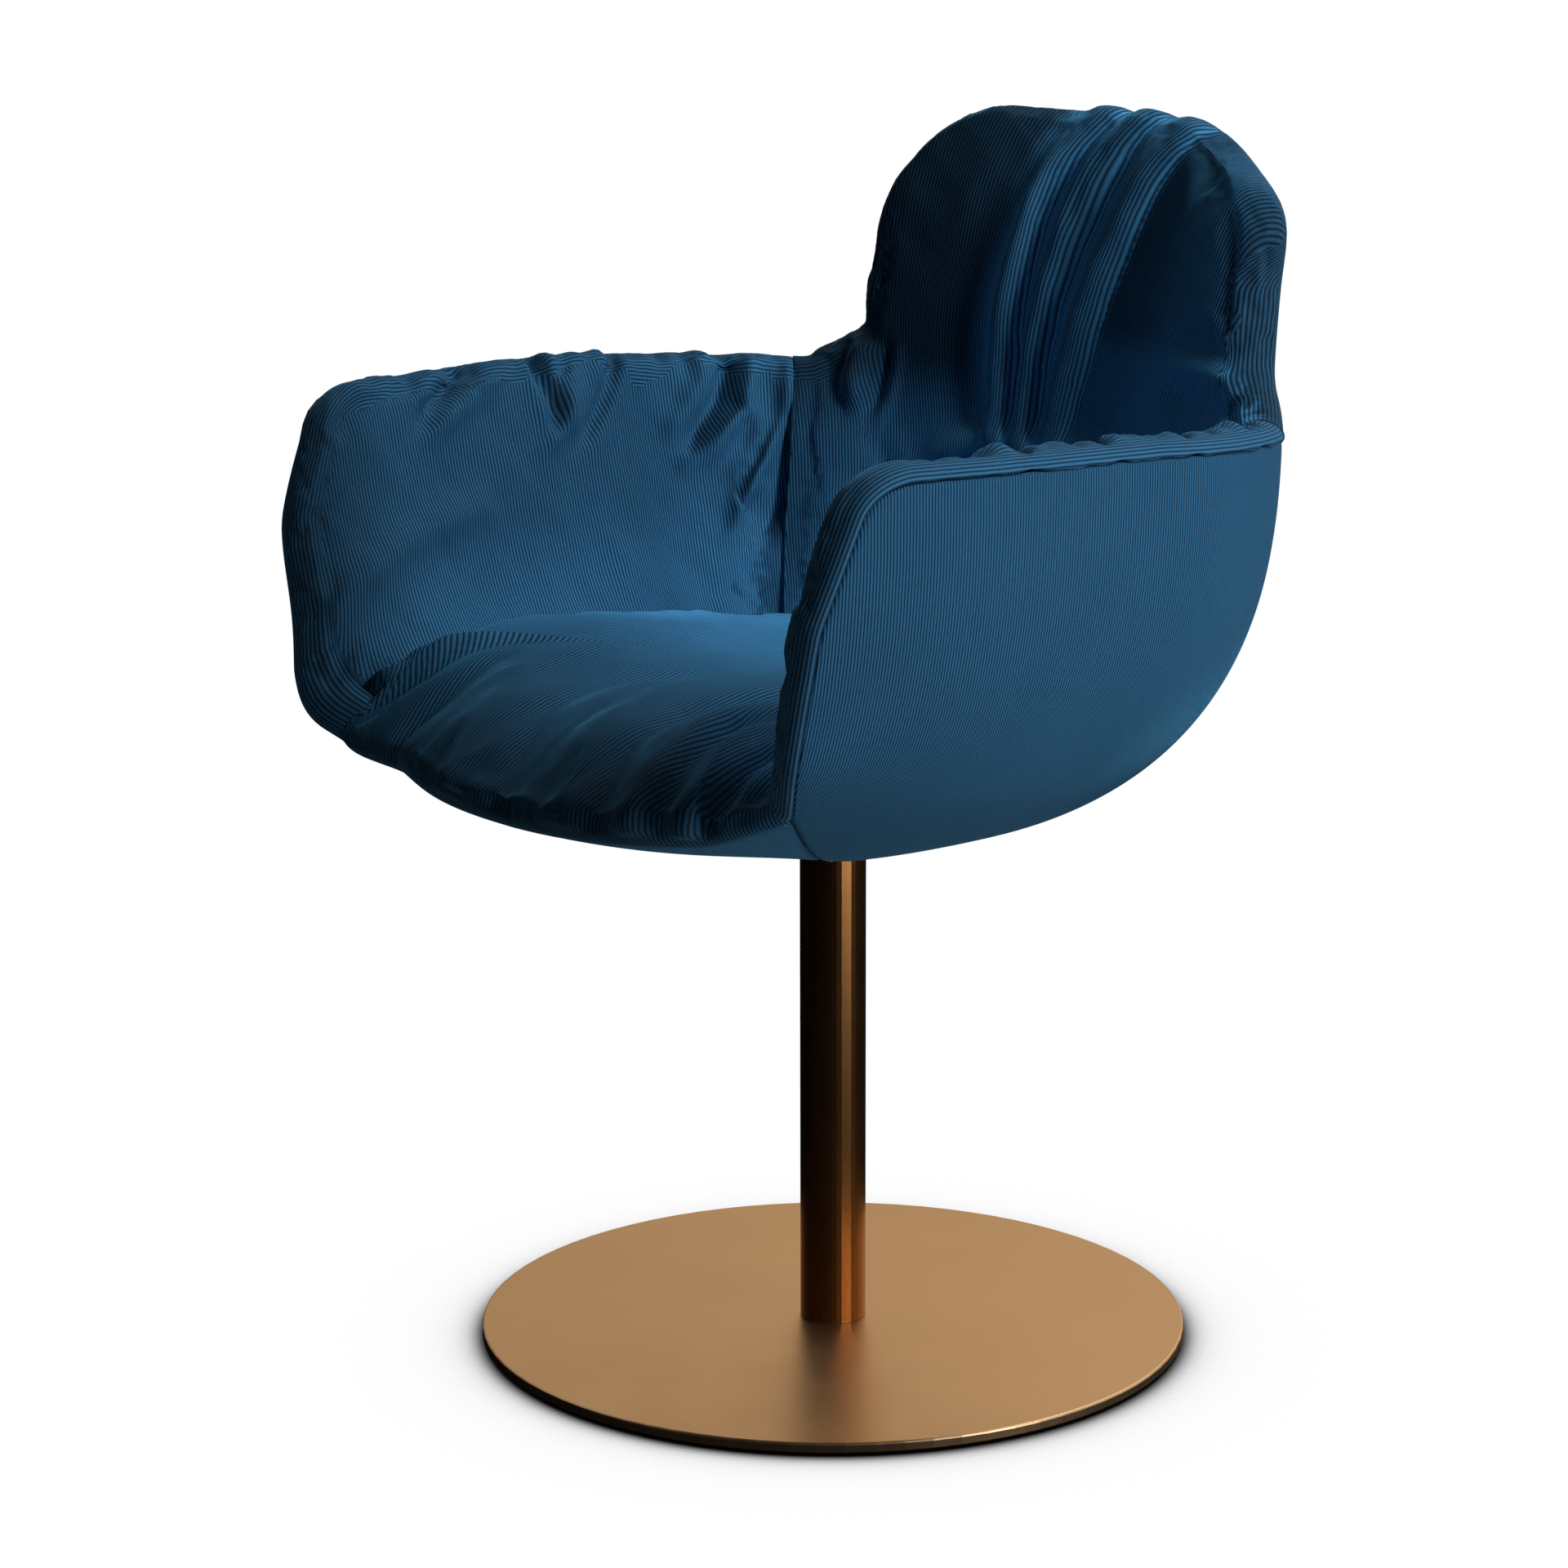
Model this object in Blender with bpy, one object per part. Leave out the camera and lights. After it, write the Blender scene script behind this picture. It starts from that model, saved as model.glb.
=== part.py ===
# Pedestal armchair: an upholstered bucket seat that turns on a steel tube over a round floor plate.
# The origin is on the column's axis at floor level. +Z is up, the sitter faces -Y, +X is the sitter's left.
import bpy
import bmesh
import numpy as np
from math import acos, atan2, cos, exp, hypot, inf, pi, radians, sin, tan
from mathutils import Vector

# Driving dimensions in metres. Angles are in degrees.

# Clearances
FIT = 0.0003                # between metal pieces that touch
SOFT_FIT = 0.0005           # between upholstery and what carries it
SEAM_GAP = 0.0010           # between two neighbouring covers, measured along the rim
PAD_GAP = 0.0018            # between two neighbouring pads, measured along the rim
RIM_FIT = 0.0009            # between the pads and the rim of shell and covers under them

# Floor plate and its felt
BASE_RADIUS = 0.260
BASE_THICKNESS = 0.008
BASE_EDGE = 0.0015          # rounding of the plate's upper and lower edge
FELT_INSET = 0.008          # the felt stays this far inside the plate's edge
FELT_THICKNESS = 0.0017

# Column
COLUMN_RADIUS = 0.02415
COLUMN_WALL = 0.003
COLUMN_LENGTH = 0.3582
FOOT_PLUG_LENGTH = 0.030

# Foot screws, M6 countersunk, from below into the plug
FOOT_SCREWS = 3
FOOT_SCREW_CIRCLE = 0.0125
FOOT_SCREW_RADIUS = 0.003
FOOT_SCREW_HEAD_RADIUS = 0.006
FOOT_SCREW_LENGTH = 0.026
FOOT_SCREW_RECESS = 0.0006  # the head lies this deep under the plate
HEX_KEY_RADIUS = 0.0022
HEX_KEY_DEPTH = 0.0018

# Swivel bearing
SPINDLE_RADIUS = 0.0125
SPINDLE_LENGTH = 0.236      # from its lower end to the shoulder under the seat plate
SPIGOT_RADIUS = 0.008       # turned down end that sits in the seat plate
BUSH_LENGTH = 0.030
BUSH_FLANGE_RADIUS = 0.0232
BUSH_FLANGE_THICKNESS = 0.003
LOWER_BUSH_TOP = 0.180      # above the floor
THRUST_WASHER_THICKNESS = 0.002
RETAINING_WASHER_THICKNESS = 0.0025
RETAINING_WASHER_RADIUS = 0.0195
CIRCLIP_THICKNESS = 0.0013
CIRCLIP_WIDTH = 0.0042
CIRCLIP_GROOVE_DEPTH = 0.0012
CIRCLIP_OPENING = 50.0      # degrees

# Seat plate and its bolts, M6 into threaded inserts in the shell
PLATE_SIDE = 0.100
PLATE_THICKNESS = 0.005
PLATE_CORNER = 0.004
BOLT_SPACING = 0.072
BOLT_RADIUS = 0.003
BOLT_LENGTH = 0.0145
BOLT_HEAD_RADIUS = 0.0055
BOLT_HEAD_HEIGHT = 0.0035
BOLT_WASHER_RADIUS = 0.0064
BOLT_WASHER_THICKNESS = 0.0012
INSERT_RADIUS = 0.0052
INSERT_LENGTH = 0.0075
INSERT_HEADROOM = 0.0006    # free space over the insert in its blind hole

# Bucket: the outer face of the covers
HALF_WIDTH = 0.3185
BACK_REACH = 0.293          # from the column's axis to the back, at arm height
FRONT_REACH = 0.435         # corner point of the front curve, ahead of the open front edge
CURVE_HEIGHT = 0.300        # height over which the bowl's side turns upright
PROFILE_POWER = 2.55        # fullness of the bowl's side
BACK_POWER = 2.2            # fullness of the plan behind
FRONT_POWER = 3.15          # fullness of the plan in front, at arm height
FRONT_POWER_LOW = 2.25      # the same at the bottom
FRONT_POWER_RISE = 0.42     # share of the curve height over which one becomes the other
BACK_LEAN = 0.012           # the top of the back leans out by this much
LEAN_START = 0.220          # height above the bowl's lowest point where the lean starts
LEAN_SPAN = 0.280
FRONT_LIFT = 0.5            # how much flatter the underside is below the front edge
FRONT_LIFT_HEIGHT = 0.048
BOWL_CLEARANCE = 0.0008     # from the seat plate's top to the covers' lowest level
RIM_SCALE = 0.30            # radius on which angles along the rim are measured
LEAST_FACET = 0.004         # facets along the rim are at least this long beside a seam

# Heights of the covers' rim above the bowl's lowest point
FRONT_HEIGHT = 0.048        # in the middle of the open front
FRONT_CORNER_HEIGHT = 0.082
ARM_HEIGHT = 0.311          # at the front of the armrest
ARM_HEIGHT_BACK = 0.292     # where the armrest meets the back
BACK_HEIGHT = 0.492

# Rim of the covers, from the middle of the front to the middle of the back, on one side:
# angle round the column, height above the bowl's lowest point, corner radius,
# and the angle at which the path down from this point reaches the middle of the underside
RIM = (
    (-90.0, FRONT_HEIGHT, 0.0, -90.0),
    (-58.0, FRONT_HEIGHT + 0.008, 0.060, -57.0),
    (-47.0, FRONT_CORNER_HEIGHT, 0.018, -44.0),
    (-43.5, ARM_HEIGHT - 0.091, 0.100, -30.0),
    (-38.5, ARM_HEIGHT, 0.030, -21.0),
    (0.0, ARM_HEIGHT - 0.005, 0.300, 4.0),
    (40.0, ARM_HEIGHT_BACK, 0.030, 30.0),
    (50.5, ARM_HEIGHT_BACK + 0.028, 0.030, 42.0),
    (54.5, BACK_HEIGHT - 0.004, 0.100, 64.0),
    (90.0, BACK_HEIGHT, 0.0, 90.0),
)
# Number of facets along each stretch of the rim, corners and straights in turn
RIM_FACETS = (4, 1, 1, 3, 4, 1, 2, 4, 3, 1, 4, 2, 2, 3, 3, 5, 7)

# Layers of the bucket, outside to inside
COVER_THICKNESS = 0.003
SHELL_THICKNESS = 0.006
ARM_PAD_DEPTH = 0.042       # from the cover's face to the arm's inner face, at the rim
ARM_PAD_CROWN = 0.007
FRONT_PAD_DEPTH = 0.056     # the same for the front roll, at the rim and where the seat meets it
FRONT_PAD_DEPTH_INNER = 0.080
BACK_PAD_DEPTH_TOP = 0.050
BACK_PAD_DEPTH_LOW = 0.066  # at its fullest, above the seat
BACK_PAD_SWELL = 0.62       # share of the way down at which the back pad is fullest
PAD_MERGE = 0.080           # length along the rim over which one pad's depth becomes the next's
CREST_HEIGHT = 0.0125       # how far the pads stand over the rim
CREST_OVERHANG = 0.0008     # how far their lower edge stands outside the covers
PAD_END_ROUNDING = 0.006    # how far a pad's inner face draws in at its ends
PAD_END_SPAN = 0.018        # and over what length
PAD_JOINT_ANGLE = 37.0      # where arm pad and back pad meet at the rim
BOSS_RADIUS = 0.078         # flat round boss under the shell

# Seat cushion
SHELF_HEIGHT = 0.045        # the pads stand on the cushion's border at this height above the bowl
SHELF_BELOW_RIM = 0.024     # least distance of that border below the rim
SEAT_HEIGHT = 0.115         # the cushion's upper face above the bowl's lowest point
SEAT_CROWN = 0.010
SEAT_CREASE = 0.013         # how far the seat's edge drops where it meets the pads
SEAT_FOLD = 0.003
SEAT_FOLD_PITCH = 0.085
SEAT_FOLD_ANGLE = 35.0
CUSHION_FIT = 0.0015        # between the cushion's sides and the pads
BORDER_FIT = 0.0018         # between the pads' lower ends and the cushion's border
CUSHION_FACET = 0.020       # least length of the cushion's facets round its border
CORNER_SPAN = 0.030         # the cushion keeps every facet this close to the front corners

# Pleats of the back pad: each runs from a lower to an upper point, given as distance from the
# middle and height above the bowl's lowest point, with a depth and a half width
PLEATS = (
    (-0.092, 0.285, -0.030, 0.495, 0.006, 0.014),
    (-0.054, 0.270, -0.012, 0.500, 0.014, 0.009),
    (-0.036, 0.262, 0.080, 0.500, 0.014, 0.009),
    (-0.002, 0.255, 0.112, 0.490, 0.012, 0.010),
)
PLEAT_FADE = 0.030

# Heights that follow from the above
BASE_LOW = FELT_THICKNESS + FIT
BASE_TOP = BASE_LOW + BASE_THICKNESS
COLUMN_LOW = BASE_TOP + FIT
COLUMN_TOP = COLUMN_LOW + COLUMN_LENGTH
COLUMN_BORE = COLUMN_RADIUS - COLUMN_WALL
FLANGE_TOP = COLUMN_TOP + FIT + BUSH_FLANGE_THICKNESS
THRUST_WASHER_LOW = FLANGE_TOP + FIT
PLATE_LOW = THRUST_WASHER_LOW + THRUST_WASHER_THICKNESS + FIT
PLATE_TOP = PLATE_LOW + PLATE_THICKNESS
BOSS_LOW = PLATE_TOP + FIT
BOWL_LOW = PLATE_TOP + BOWL_CLEARANCE
SPINDLE_TOP = PLATE_LOW - FIT
SPINDLE_LOW = SPINDLE_TOP - SPINDLE_LENGTH
SHELL_OUTER = COVER_THICKNESS + FIT
SHELL_INNER = SHELL_OUTER + SHELL_THICKNESS
PAD_BACK = SHELL_INNER + SOFT_FIT


# Scene and materials

def clear_scene():
    for thing in list(bpy.data.objects):
        bpy.data.objects.remove(thing, do_unlink=True)


def make_material(name, colour, roughness, metallic=0.0):
    material = bpy.data.materials.new(name)
    material.use_nodes = True
    shader = material.node_tree.nodes["Principled BSDF"]
    shader.inputs["Base Color"].default_value = (*colour, 1.0)
    shader.inputs["Roughness"].default_value = roughness
    shader.inputs["Metallic"].default_value = metallic
    material.diffuse_color = (*colour, 1.0)
    return material


def add_object(name, mesh, parent, material, smooth_angle=35.0):
    mesh.materials.clear()
    mesh.materials.append(material)
    mesh.shade_smooth()
    mesh.set_sharp_from_angle(angle=radians(smooth_angle))
    piece = bpy.data.objects.new(name, mesh)
    bpy.context.collection.objects.link(piece)
    piece.parent = parent
    return piece


def mesh_from_bmesh(name, bm):
    bmesh.ops.recalc_face_normals(bm, faces=bm.faces)
    mesh = bpy.data.meshes.new(name)
    bm.to_mesh(mesh)
    bm.free()
    return mesh


def cut(piece, cutters):
    for cutter in cutters:
        cutter.hide_render = True
        cutter.display_type = "WIRE"
        modifier = piece.modifiers.new("Cut " + cutter.name, "BOOLEAN")
        modifier.operation = "DIFFERENCE"
        modifier.object = cutter


# Turned and extruded shapes

def turned(name, profile, facets):
    """Closed solid turned round Z. The profile is a list of radius and height pairs; a radius
    of zero at both ends closes it with flat faces, otherwise it is a closed ring."""
    bm = bmesh.new()
    capped = profile[0][0] == 0
    rings = []
    for radius, height in (profile[1:-1] if capped else profile):
        turns = [2 * pi * k / facets for k in range(facets)]
        rings.append([bm.verts.new((radius * cos(t), radius * sin(t), height)) for t in turns])
    pairs = list(zip(rings, rings[1:]))
    if capped:
        bm.faces.new(rings[0][::-1])
        bm.faces.new(rings[-1])
    else:
        pairs.append((rings[-1], rings[0]))
    for lower, upper in pairs:
        for k in range(facets):
            after = (k + 1) % facets
            bm.faces.new((lower[k], lower[after], upper[after], upper[k]))
    return mesh_from_bmesh(name, bm)


def cylinder_profile(radius, low, high):
    return ((0, low), (radius, low), (radius, high), (0, high))


def tube_profile(inner, outer, low, high):
    return ((inner, low), (outer, low), (outer, high), (inner, high))


def extruded(name, outline, low, high):
    bm = bmesh.new()
    lower = [bm.verts.new((x, y, low)) for x, y in outline]
    upper = [bm.verts.new((x, y, high)) for x, y in outline]
    count = len(outline)
    for k in range(count):
        after = (k + 1) % count
        bm.faces.new((lower[k], lower[after], upper[after], upper[k]))
    bm.faces.new(lower[::-1])
    bm.faces.new(upper)
    return mesh_from_bmesh(name, bm)


def rounded_square(side, corner, facets=4):
    half = side / 2 - corner
    points = []
    for quarter in range(4):
        centre_turn = pi / 4 + quarter * pi / 2
        centre_x = half * (1 if cos(centre_turn) > 0 else -1)
        centre_y = half * (1 if sin(centre_turn) > 0 else -1)
        for k in range(facets + 1):
            turn = quarter * pi / 2 + k * pi / 2 / facets
            points.append((centre_x + corner * cos(turn), centre_y + corner * sin(turn)))
    return points


# Surface of the bucket

def clamp(value, low=0.0, high=1.0):
    return max(low, min(high, value))


def smooth(value):
    value = clamp(value)
    return value * value * (3 - 2 * value)


def front_warp(sine):
    """Exponent that flattens the underside below the open front."""
    return 1 + FRONT_LIFT * smooth((-sine - 0.6) / 0.3)


def bowl(angle, rise):
    """Point of the covers' outer face. The rise runs from 0 at the bottom over 1 where the
    side is upright, and grows with height above that."""
    c, s = cos(angle), sin(angle)
    quarter = min(max(rise, 0.0), 1.0) * pi / 2
    spread = sin(quarter) ** (2 / PROFILE_POWER)
    level = rise if rise > 1 else 1 - max(cos(quarter), 0.0) ** (2 / PROFILE_POWER)
    lift_limit = FRONT_LIFT_HEIGHT / CURVE_HEIGHT
    if level < lift_limit:
        level = lift_limit * (level / lift_limit) ** (1 / front_warp(s))
    height = CURVE_HEIGHT * level
    front = smooth(0.5 - 0.5 * clamp(s / 0.35, -1, 1))
    fullness = clamp(level / FRONT_POWER_RISE) ** 1.2
    front_power = FRONT_POWER_LOW + (FRONT_POWER - FRONT_POWER_LOW) * fullness
    power = BACK_POWER + (front_power - BACK_POWER) * front
    reach = BACK_REACH if s > 0 else FRONT_REACH
    radius = (abs(c / HALF_WIDTH) ** power + abs(s / reach) ** power) ** (-1 / power)
    lean = BACK_LEAN * clamp((height - LEAN_START) / LEAN_SPAN) * max(s, 0) ** 2
    return Vector((spread * radius * c, spread * radius * s + lean, BOWL_LOW + height))


def rise_at(angle, height):
    """The rise at which the bowl reaches a height above its lowest point."""
    level = height / CURVE_HEIGHT
    if level >= 1:
        return level
    lift_limit = FRONT_LIFT_HEIGHT / CURVE_HEIGHT
    if level < lift_limit:
        level = lift_limit * (level / lift_limit) ** front_warp(sin(angle))
    return acos((1 - level) ** (PROFILE_POWER / 2)) / (pi / 2)


def bowl_normal(angle, rise):
    step = 1e-4
    along = bowl(angle + step, rise) - bowl(angle - step, rise)
    up = bowl(angle, rise + step) - bowl(angle, rise - step)
    return along.cross(up).normalized()


# Rim of the bucket

def rim_curve():
    """The rim as a fine chain of distance, height and foot angle, with the corners rounded,
    and the distances at which the facets along it start."""
    nodes = [np.array((radians(a) * RIM_SCALE, h)) for a, h, r, f in RIM]
    feet = [f for a, h, r, f in RIM]
    chain = [(*nodes[0], feet[0])]
    breaks = [0]
    for k in range(1, len(nodes) - 1):
        before, after = nodes[k - 1] - nodes[k], nodes[k + 1] - nodes[k]
        room = 0.49 * min(hypot(*before), hypot(*after))
        before, after = before / hypot(*before), after / hypot(*after)
        opening = acos(clamp(float(before @ after), -1, 1))
        reach = min(RIM[k][2] / tan(opening / 2), room)
        radius = reach * tan(opening / 2)
        bisector = (before + after) / hypot(*(before + after))
        centre = nodes[k] + bisector * radius / sin(opening / 2)
        start, end = nodes[k] + before * reach, nodes[k] + after * reach
        turn_from = atan2(start[1] - centre[1], start[0] - centre[0])
        turn_to = atan2(end[1] - centre[1], end[0] - centre[0])
        sweep = (turn_to - turn_from + pi) % (2 * pi) - pi
        breaks.append(len(chain))
        for step in range(13):
            turn = turn_from + sweep * step / 12
            share = step / 12 - 0.5
            reach_foot = reach / hypot(*(nodes[k + (1 if share > 0 else -1)] - nodes[k]))
            foot = feet[k] + 2 * share * reach_foot * abs(feet[k + (1 if share > 0 else -1)] - feet[k])
            chain.append((centre[0] + radius * cos(turn), centre[1] + radius * sin(turn), foot))
        breaks.append(len(chain) - 1)
    chain.append((*nodes[-1], feet[-1]))
    breaks.append(len(chain) - 1)
    chain = np.array(chain)
    steps = np.hypot(np.diff(chain[:, 0]), np.diff(chain[:, 1]))
    lengths = np.concatenate(([0.0], np.cumsum(steps)))
    return chain, lengths, [float(lengths[k]) for k in breaks]


RIM_CHAIN, RIM_LENGTHS, RIM_BREAKS = rim_curve()
RIM_LENGTH = float(RIM_LENGTHS[-1])


def rim_at(distance):
    """Angle, height, foot angle and side of the rim at a distance from the middle of the front.
    Distances below zero, or past the middle of the back, are on the other side."""
    side = 1
    if distance < 0:
        distance, side = -distance, -1
    if distance > RIM_LENGTH:
        distance, side = 2 * RIM_LENGTH - distance, -side
    across, height, foot = (float(np.interp(distance, RIM_LENGTHS, RIM_CHAIN[:, k])) for k in range(3))
    return across / RIM_SCALE, height, radians(foot), side


def distance_at_angle(angle):
    return float(np.interp(radians(angle) * RIM_SCALE, RIM_CHAIN[:, 0], RIM_LENGTHS))


def solve(value_at, target, low, high):
    """Where a falling function of one value passes the target."""
    for _ in range(40):
        middle = (low + high) / 2
        if value_at(middle) > target:
            low = middle
        else:
            high = middle
    return (low + high) / 2


class Station:
    """One place on the rim, with the path that runs from it down to the boss under the bowl."""

    def __init__(self, distance):
        self.distance = distance
        self.at_front = abs(distance) < CORNER
        angle, height, foot, self.side = rim_at(distance)
        self.angle, self.foot = angle, foot
        self.rise = rise_at(angle, height)
        end = solve(lambda r: -hypot(*bowl(foot, r).xy), -(BOSS_RADIUS + SEAM_GAP), 0.0, 1.0)
        self.end_rise = end
        shelf = min(SHELF_HEIGHT, height - SHELF_BELOW_RIM)
        self.shelf = solve(lambda u: self.raw(u, 0).z, BOWL_LOW + shelf, 0.0, 1.0)
        middle = self.raw(0.5, 0)
        self.path_length = (self.raw(0, 0) - middle).length + (middle - self.raw(1, 0)).length
        step = 0.0005
        ahead, behind = rim_at(distance + step), rim_at(distance - step)
        points = []
        for a, h, _, side in (ahead, behind):
            point = bowl(a, rise_at(a, h))
            point.x *= side * self.side
            points.append(point)
        along = (points[0] - points[1]).normalized()
        self.normal = bowl_normal(angle, self.rise)
        self.rim = bowl(angle, self.rise)
        self.beyond = self.normal.cross(along).normalized()
        if self.beyond.dot(self.rim - self.raw(0.05, 0)) < 0:
            self.beyond = -self.beyond

    def raw(self, share, depth):
        angle = self.angle + (self.foot - self.angle) * share
        rise = self.rise + (self.end_rise - self.rise) * share
        point = bowl(angle, rise)
        if depth:
            point = point - bowl_normal(angle, rise) * depth
        return point

    def turned(self, point):
        return Vector((point.x * self.side, point.y, point.z))

    def inside(self, share, depth):
        """A point at a share of the path down from the rim, at a depth below the covers' face."""
        return self.turned(self.raw(share, depth))

    def over(self, rise, depth):
        """A point beyond the rim by a rise, at a depth below the covers' face."""
        return self.turned(self.rim + self.beyond * rise - self.normal * depth)


UPPER_LEVELS = (0.0, 0.13, 0.38, 0.68, 1.0)
LOWER_LEVELS = (0.30, 0.65, 1.0)


def levels(station):
    upper = [station.shelf * share for share in UPPER_LEVELS]
    lower = [station.shelf + (1 - station.shelf) * share for share in LOWER_LEVELS]
    return upper + lower


def rim_distances():
    """Where the facets along half the rim meet. The seams lie on such places too."""
    found = [0.0]
    for start, end, count in zip(RIM_BREAKS, RIM_BREAKS[1:], RIM_FACETS):
        for k in range(1, count + 1):
            found.append(start + (end - start) * k / count)
    for seam in (CORNER, PAD_JOINT):
        found = [d for d in found if abs(d - seam) > LEAST_FACET] + [seam]
    return sorted(found)


CORNER = (RIM_BREAKS[3] + RIM_BREAKS[4]) / 2
PAD_JOINT = distance_at_angle(PAD_JOINT_ANGLE)
HALF_DISTANCES = rim_distances()
STATIONS = {}


def station(distance):
    key = round(distance, 7)
    if key not in STATIONS:
        STATIONS[key] = Station(distance)
    return STATIONS[key]


def distances_between(start, end):
    """Facet distances from one place to another, which may lie past the middle of the back
    or before the middle of the front, with both ends included."""
    mirrored = [2 * RIM_LENGTH - d for d in HALF_DISTANCES[-2:0:-1]]
    before = [-d for d in HALF_DISTANCES[:0:-1]]
    every = before + HALF_DISTANCES + mirrored
    inner = [d for d in every if start + LEAST_FACET < d < end - LEAST_FACET]
    return [start] + inner + [end]


# Lofted solids

def skin(bm, first, second, closed):
    """Triangles between two neighbouring chains. Their diagonals follow the place of the chains,
    so that the faces of one layer lie alike with those of the next."""
    count = len(first)
    for k in range(count if closed else count - 1):
        after = (k + 1) % count
        a, b, c, d = first[k], first[after], second[after], second[k]
        downward = a.co.z + d.co.z >= b.co.z + c.co.z
        on_left = a.co.x + b.co.x + c.co.x + d.co.x > 0
        if downward == on_left:
            bm.faces.new((a, b, c))
            bm.faces.new((a, c, d))
        else:
            bm.faces.new((a, b, d))
            bm.faces.new((b, c, d))


def close_end(bm, ring, outer_shares, inner_shares):
    """Triangles over the end of a loft, between its outer and its inner chain."""
    outer = ring[:len(outer_shares)]
    inner = ring[len(outer_shares):][::-1]
    i = j = 0
    while i < len(outer) - 1 or j < len(inner) - 1:
        outer_next = outer_shares[i + 1] if i < len(outer) - 1 else inf
        inner_next = inner_shares[j + 1] if j < len(inner) - 1 else inf
        if outer_next <= inner_next:
            bm.faces.new((outer[i], outer[i + 1], inner[j]))
            i += 1
        else:
            bm.faces.new((outer[i], inner[j + 1], inner[j]))
            j += 1


def loft(name, sections, outer_shares, inner_shares):
    """Solid through closed sections. Each section is an outer chain followed by an inner chain
    in reverse, and the shares say how far down the section their points lie."""
    bm = bmesh.new()
    rings = [[bm.verts.new(p) for p in section] for section in sections]
    for first, second in zip(rings, rings[1:]):
        skin(bm, first, second, closed=True)
    for ring in (rings[0], rings[-1]):
        close_end(bm, ring, outer_shares, inner_shares)
    return mesh_from_bmesh(name, bm)


def bowl_loft(name, chains, first_pole, last_pole):
    """Closed solid through chains that all start at one pole and end at the other."""
    bm = bmesh.new()
    first, last = bm.verts.new(first_pole), bm.verts.new(last_pole)
    columns = [[bm.verts.new(p) for p in chain] for chain in chains]
    for here, there in zip(columns, columns[1:] + columns[:1]):
        bm.faces.new((first, here[0], there[0]))
        skin(bm, here, there, closed=False)
        bm.faces.new((here[-1], last, there[-1]))
    return mesh_from_bmesh(name, bm)


# Covers: fabric over thin foam, stretched over the outside of the shell

def cover(name, start, end):
    sections = []
    for distance in distances_between(start, end):
        place = station(distance)
        outer = [place.inside(share, 0) for share in levels(place)]
        inner = [place.inside(share, COVER_THICKNESS) for share in levels(place)]
        sections.append(outer + inner[::-1])
    shares = range(len(UPPER_LEVELS) + len(LOWER_LEVELS))
    return loft(name, sections, shares, shares)


# Structural shell

def shell():
    chains = []
    for distance in HALF_DISTANCES + [2 * RIM_LENGTH - d for d in HALF_DISTANCES[-2:0:-1]]:
        place = station(distance)
        outer = [place.inside(share, SHELL_OUTER) for share in levels(place)]
        inner = [place.inside(share, SHELL_INNER) for share in levels(place)]
        direction = Vector((outer[-1].x, outer[-1].y, 0)).normalized()
        boss_edge = direction * BOSS_RADIUS
        boss = [boss_edge + Vector((0, 0, outer[-1].z - 0.0004)), boss_edge + Vector((0, 0, BOSS_LOW))]
        chains.append(boss[::-1] + outer[::-1] + inner)
    floor = BOWL_LOW + SHELL_INNER
    return bowl_loft("seat_shell", chains, (0, 0, BOSS_LOW), (0, 0, floor))


# Pads of arms and back

def pleat_depth(point):
    """How deep the pleats draw the back pad in at a point of its face."""
    drawn = 0.0
    for low_x, low_z, high_x, high_z, depth, half_width in PLEATS:
        height = point.z - BOWL_LOW
        share = (height - low_z) / (high_z - low_z)
        middle = low_x + (high_x - low_x) * share
        slope = (high_x - low_x) / (high_z - low_z)
        off = (point.x - middle) / hypot(1, slope)
        fade = smooth((height - low_z) / PLEAT_FADE)
        drawn += depth * fade * (exp(-(off / half_width) ** 2) - 0.35 * exp(-(off / half_width / 2.2) ** 2))
    return drawn


def pad_depth(place, share, end_distance):
    """Depth of a pad's inner face; the share runs from the rim to the cushion's border."""
    along = min(abs(place.distance), 2 * RIM_LENGTH - place.distance)
    arm = ARM_PAD_DEPTH + ARM_PAD_CROWN * sin(pi * share)
    front = FRONT_PAD_DEPTH + (FRONT_PAD_DEPTH_INNER - FRONT_PAD_DEPTH) * share
    swell = (BACK_PAD_DEPTH_LOW - BACK_PAD_DEPTH_TOP) * smooth(share / BACK_PAD_SWELL)
    tuck = (BACK_PAD_DEPTH_LOW - ARM_PAD_DEPTH) * smooth((share - BACK_PAD_SWELL) / (1 - BACK_PAD_SWELL))
    back = BACK_PAD_DEPTH_TOP + swell - tuck
    at_back = smooth((along - PAD_JOINT + PAD_MERGE / 2) / PAD_MERGE)
    at_front = smooth((CORNER - along) / PAD_MERGE)
    depth = arm + (back - arm) * at_back + (front - arm) * at_front
    depth -= PAD_END_ROUNDING * (1 - smooth(end_distance / PAD_END_SPAN))
    if at_back > 0:
        depth -= at_back * pleat_depth(place.inside(place.shelf * share, depth))
    return depth


# The crest of a pad over the rim, as rise beyond the rim and share of the pad's depth
CREST = ((0.02, 0.0), (0.30, -0.02), (0.72, 0.10), (0.97, 0.30), (1.0, 0.52), (0.80, 0.76), (0.42, 0.93))
FACE_SHARES = (0.0, 0.12, 0.27, 0.44, 0.61, 0.77, 0.90, 1.0)
LOWEST_CREASE = 0.96


def crease_share(place):
    """Where the cushion's upper edge touches the pad, as a share of the pad's face."""
    if place.at_front:
        return LOWEST_CREASE

    def height(share):
        return place.inside(place.shelf * share, pad_depth(place, share, inf)).z

    return solve(height, BOWL_LOW + SEAT_HEIGHT - SEAT_CREASE, 0, LOWEST_CREASE)


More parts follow.
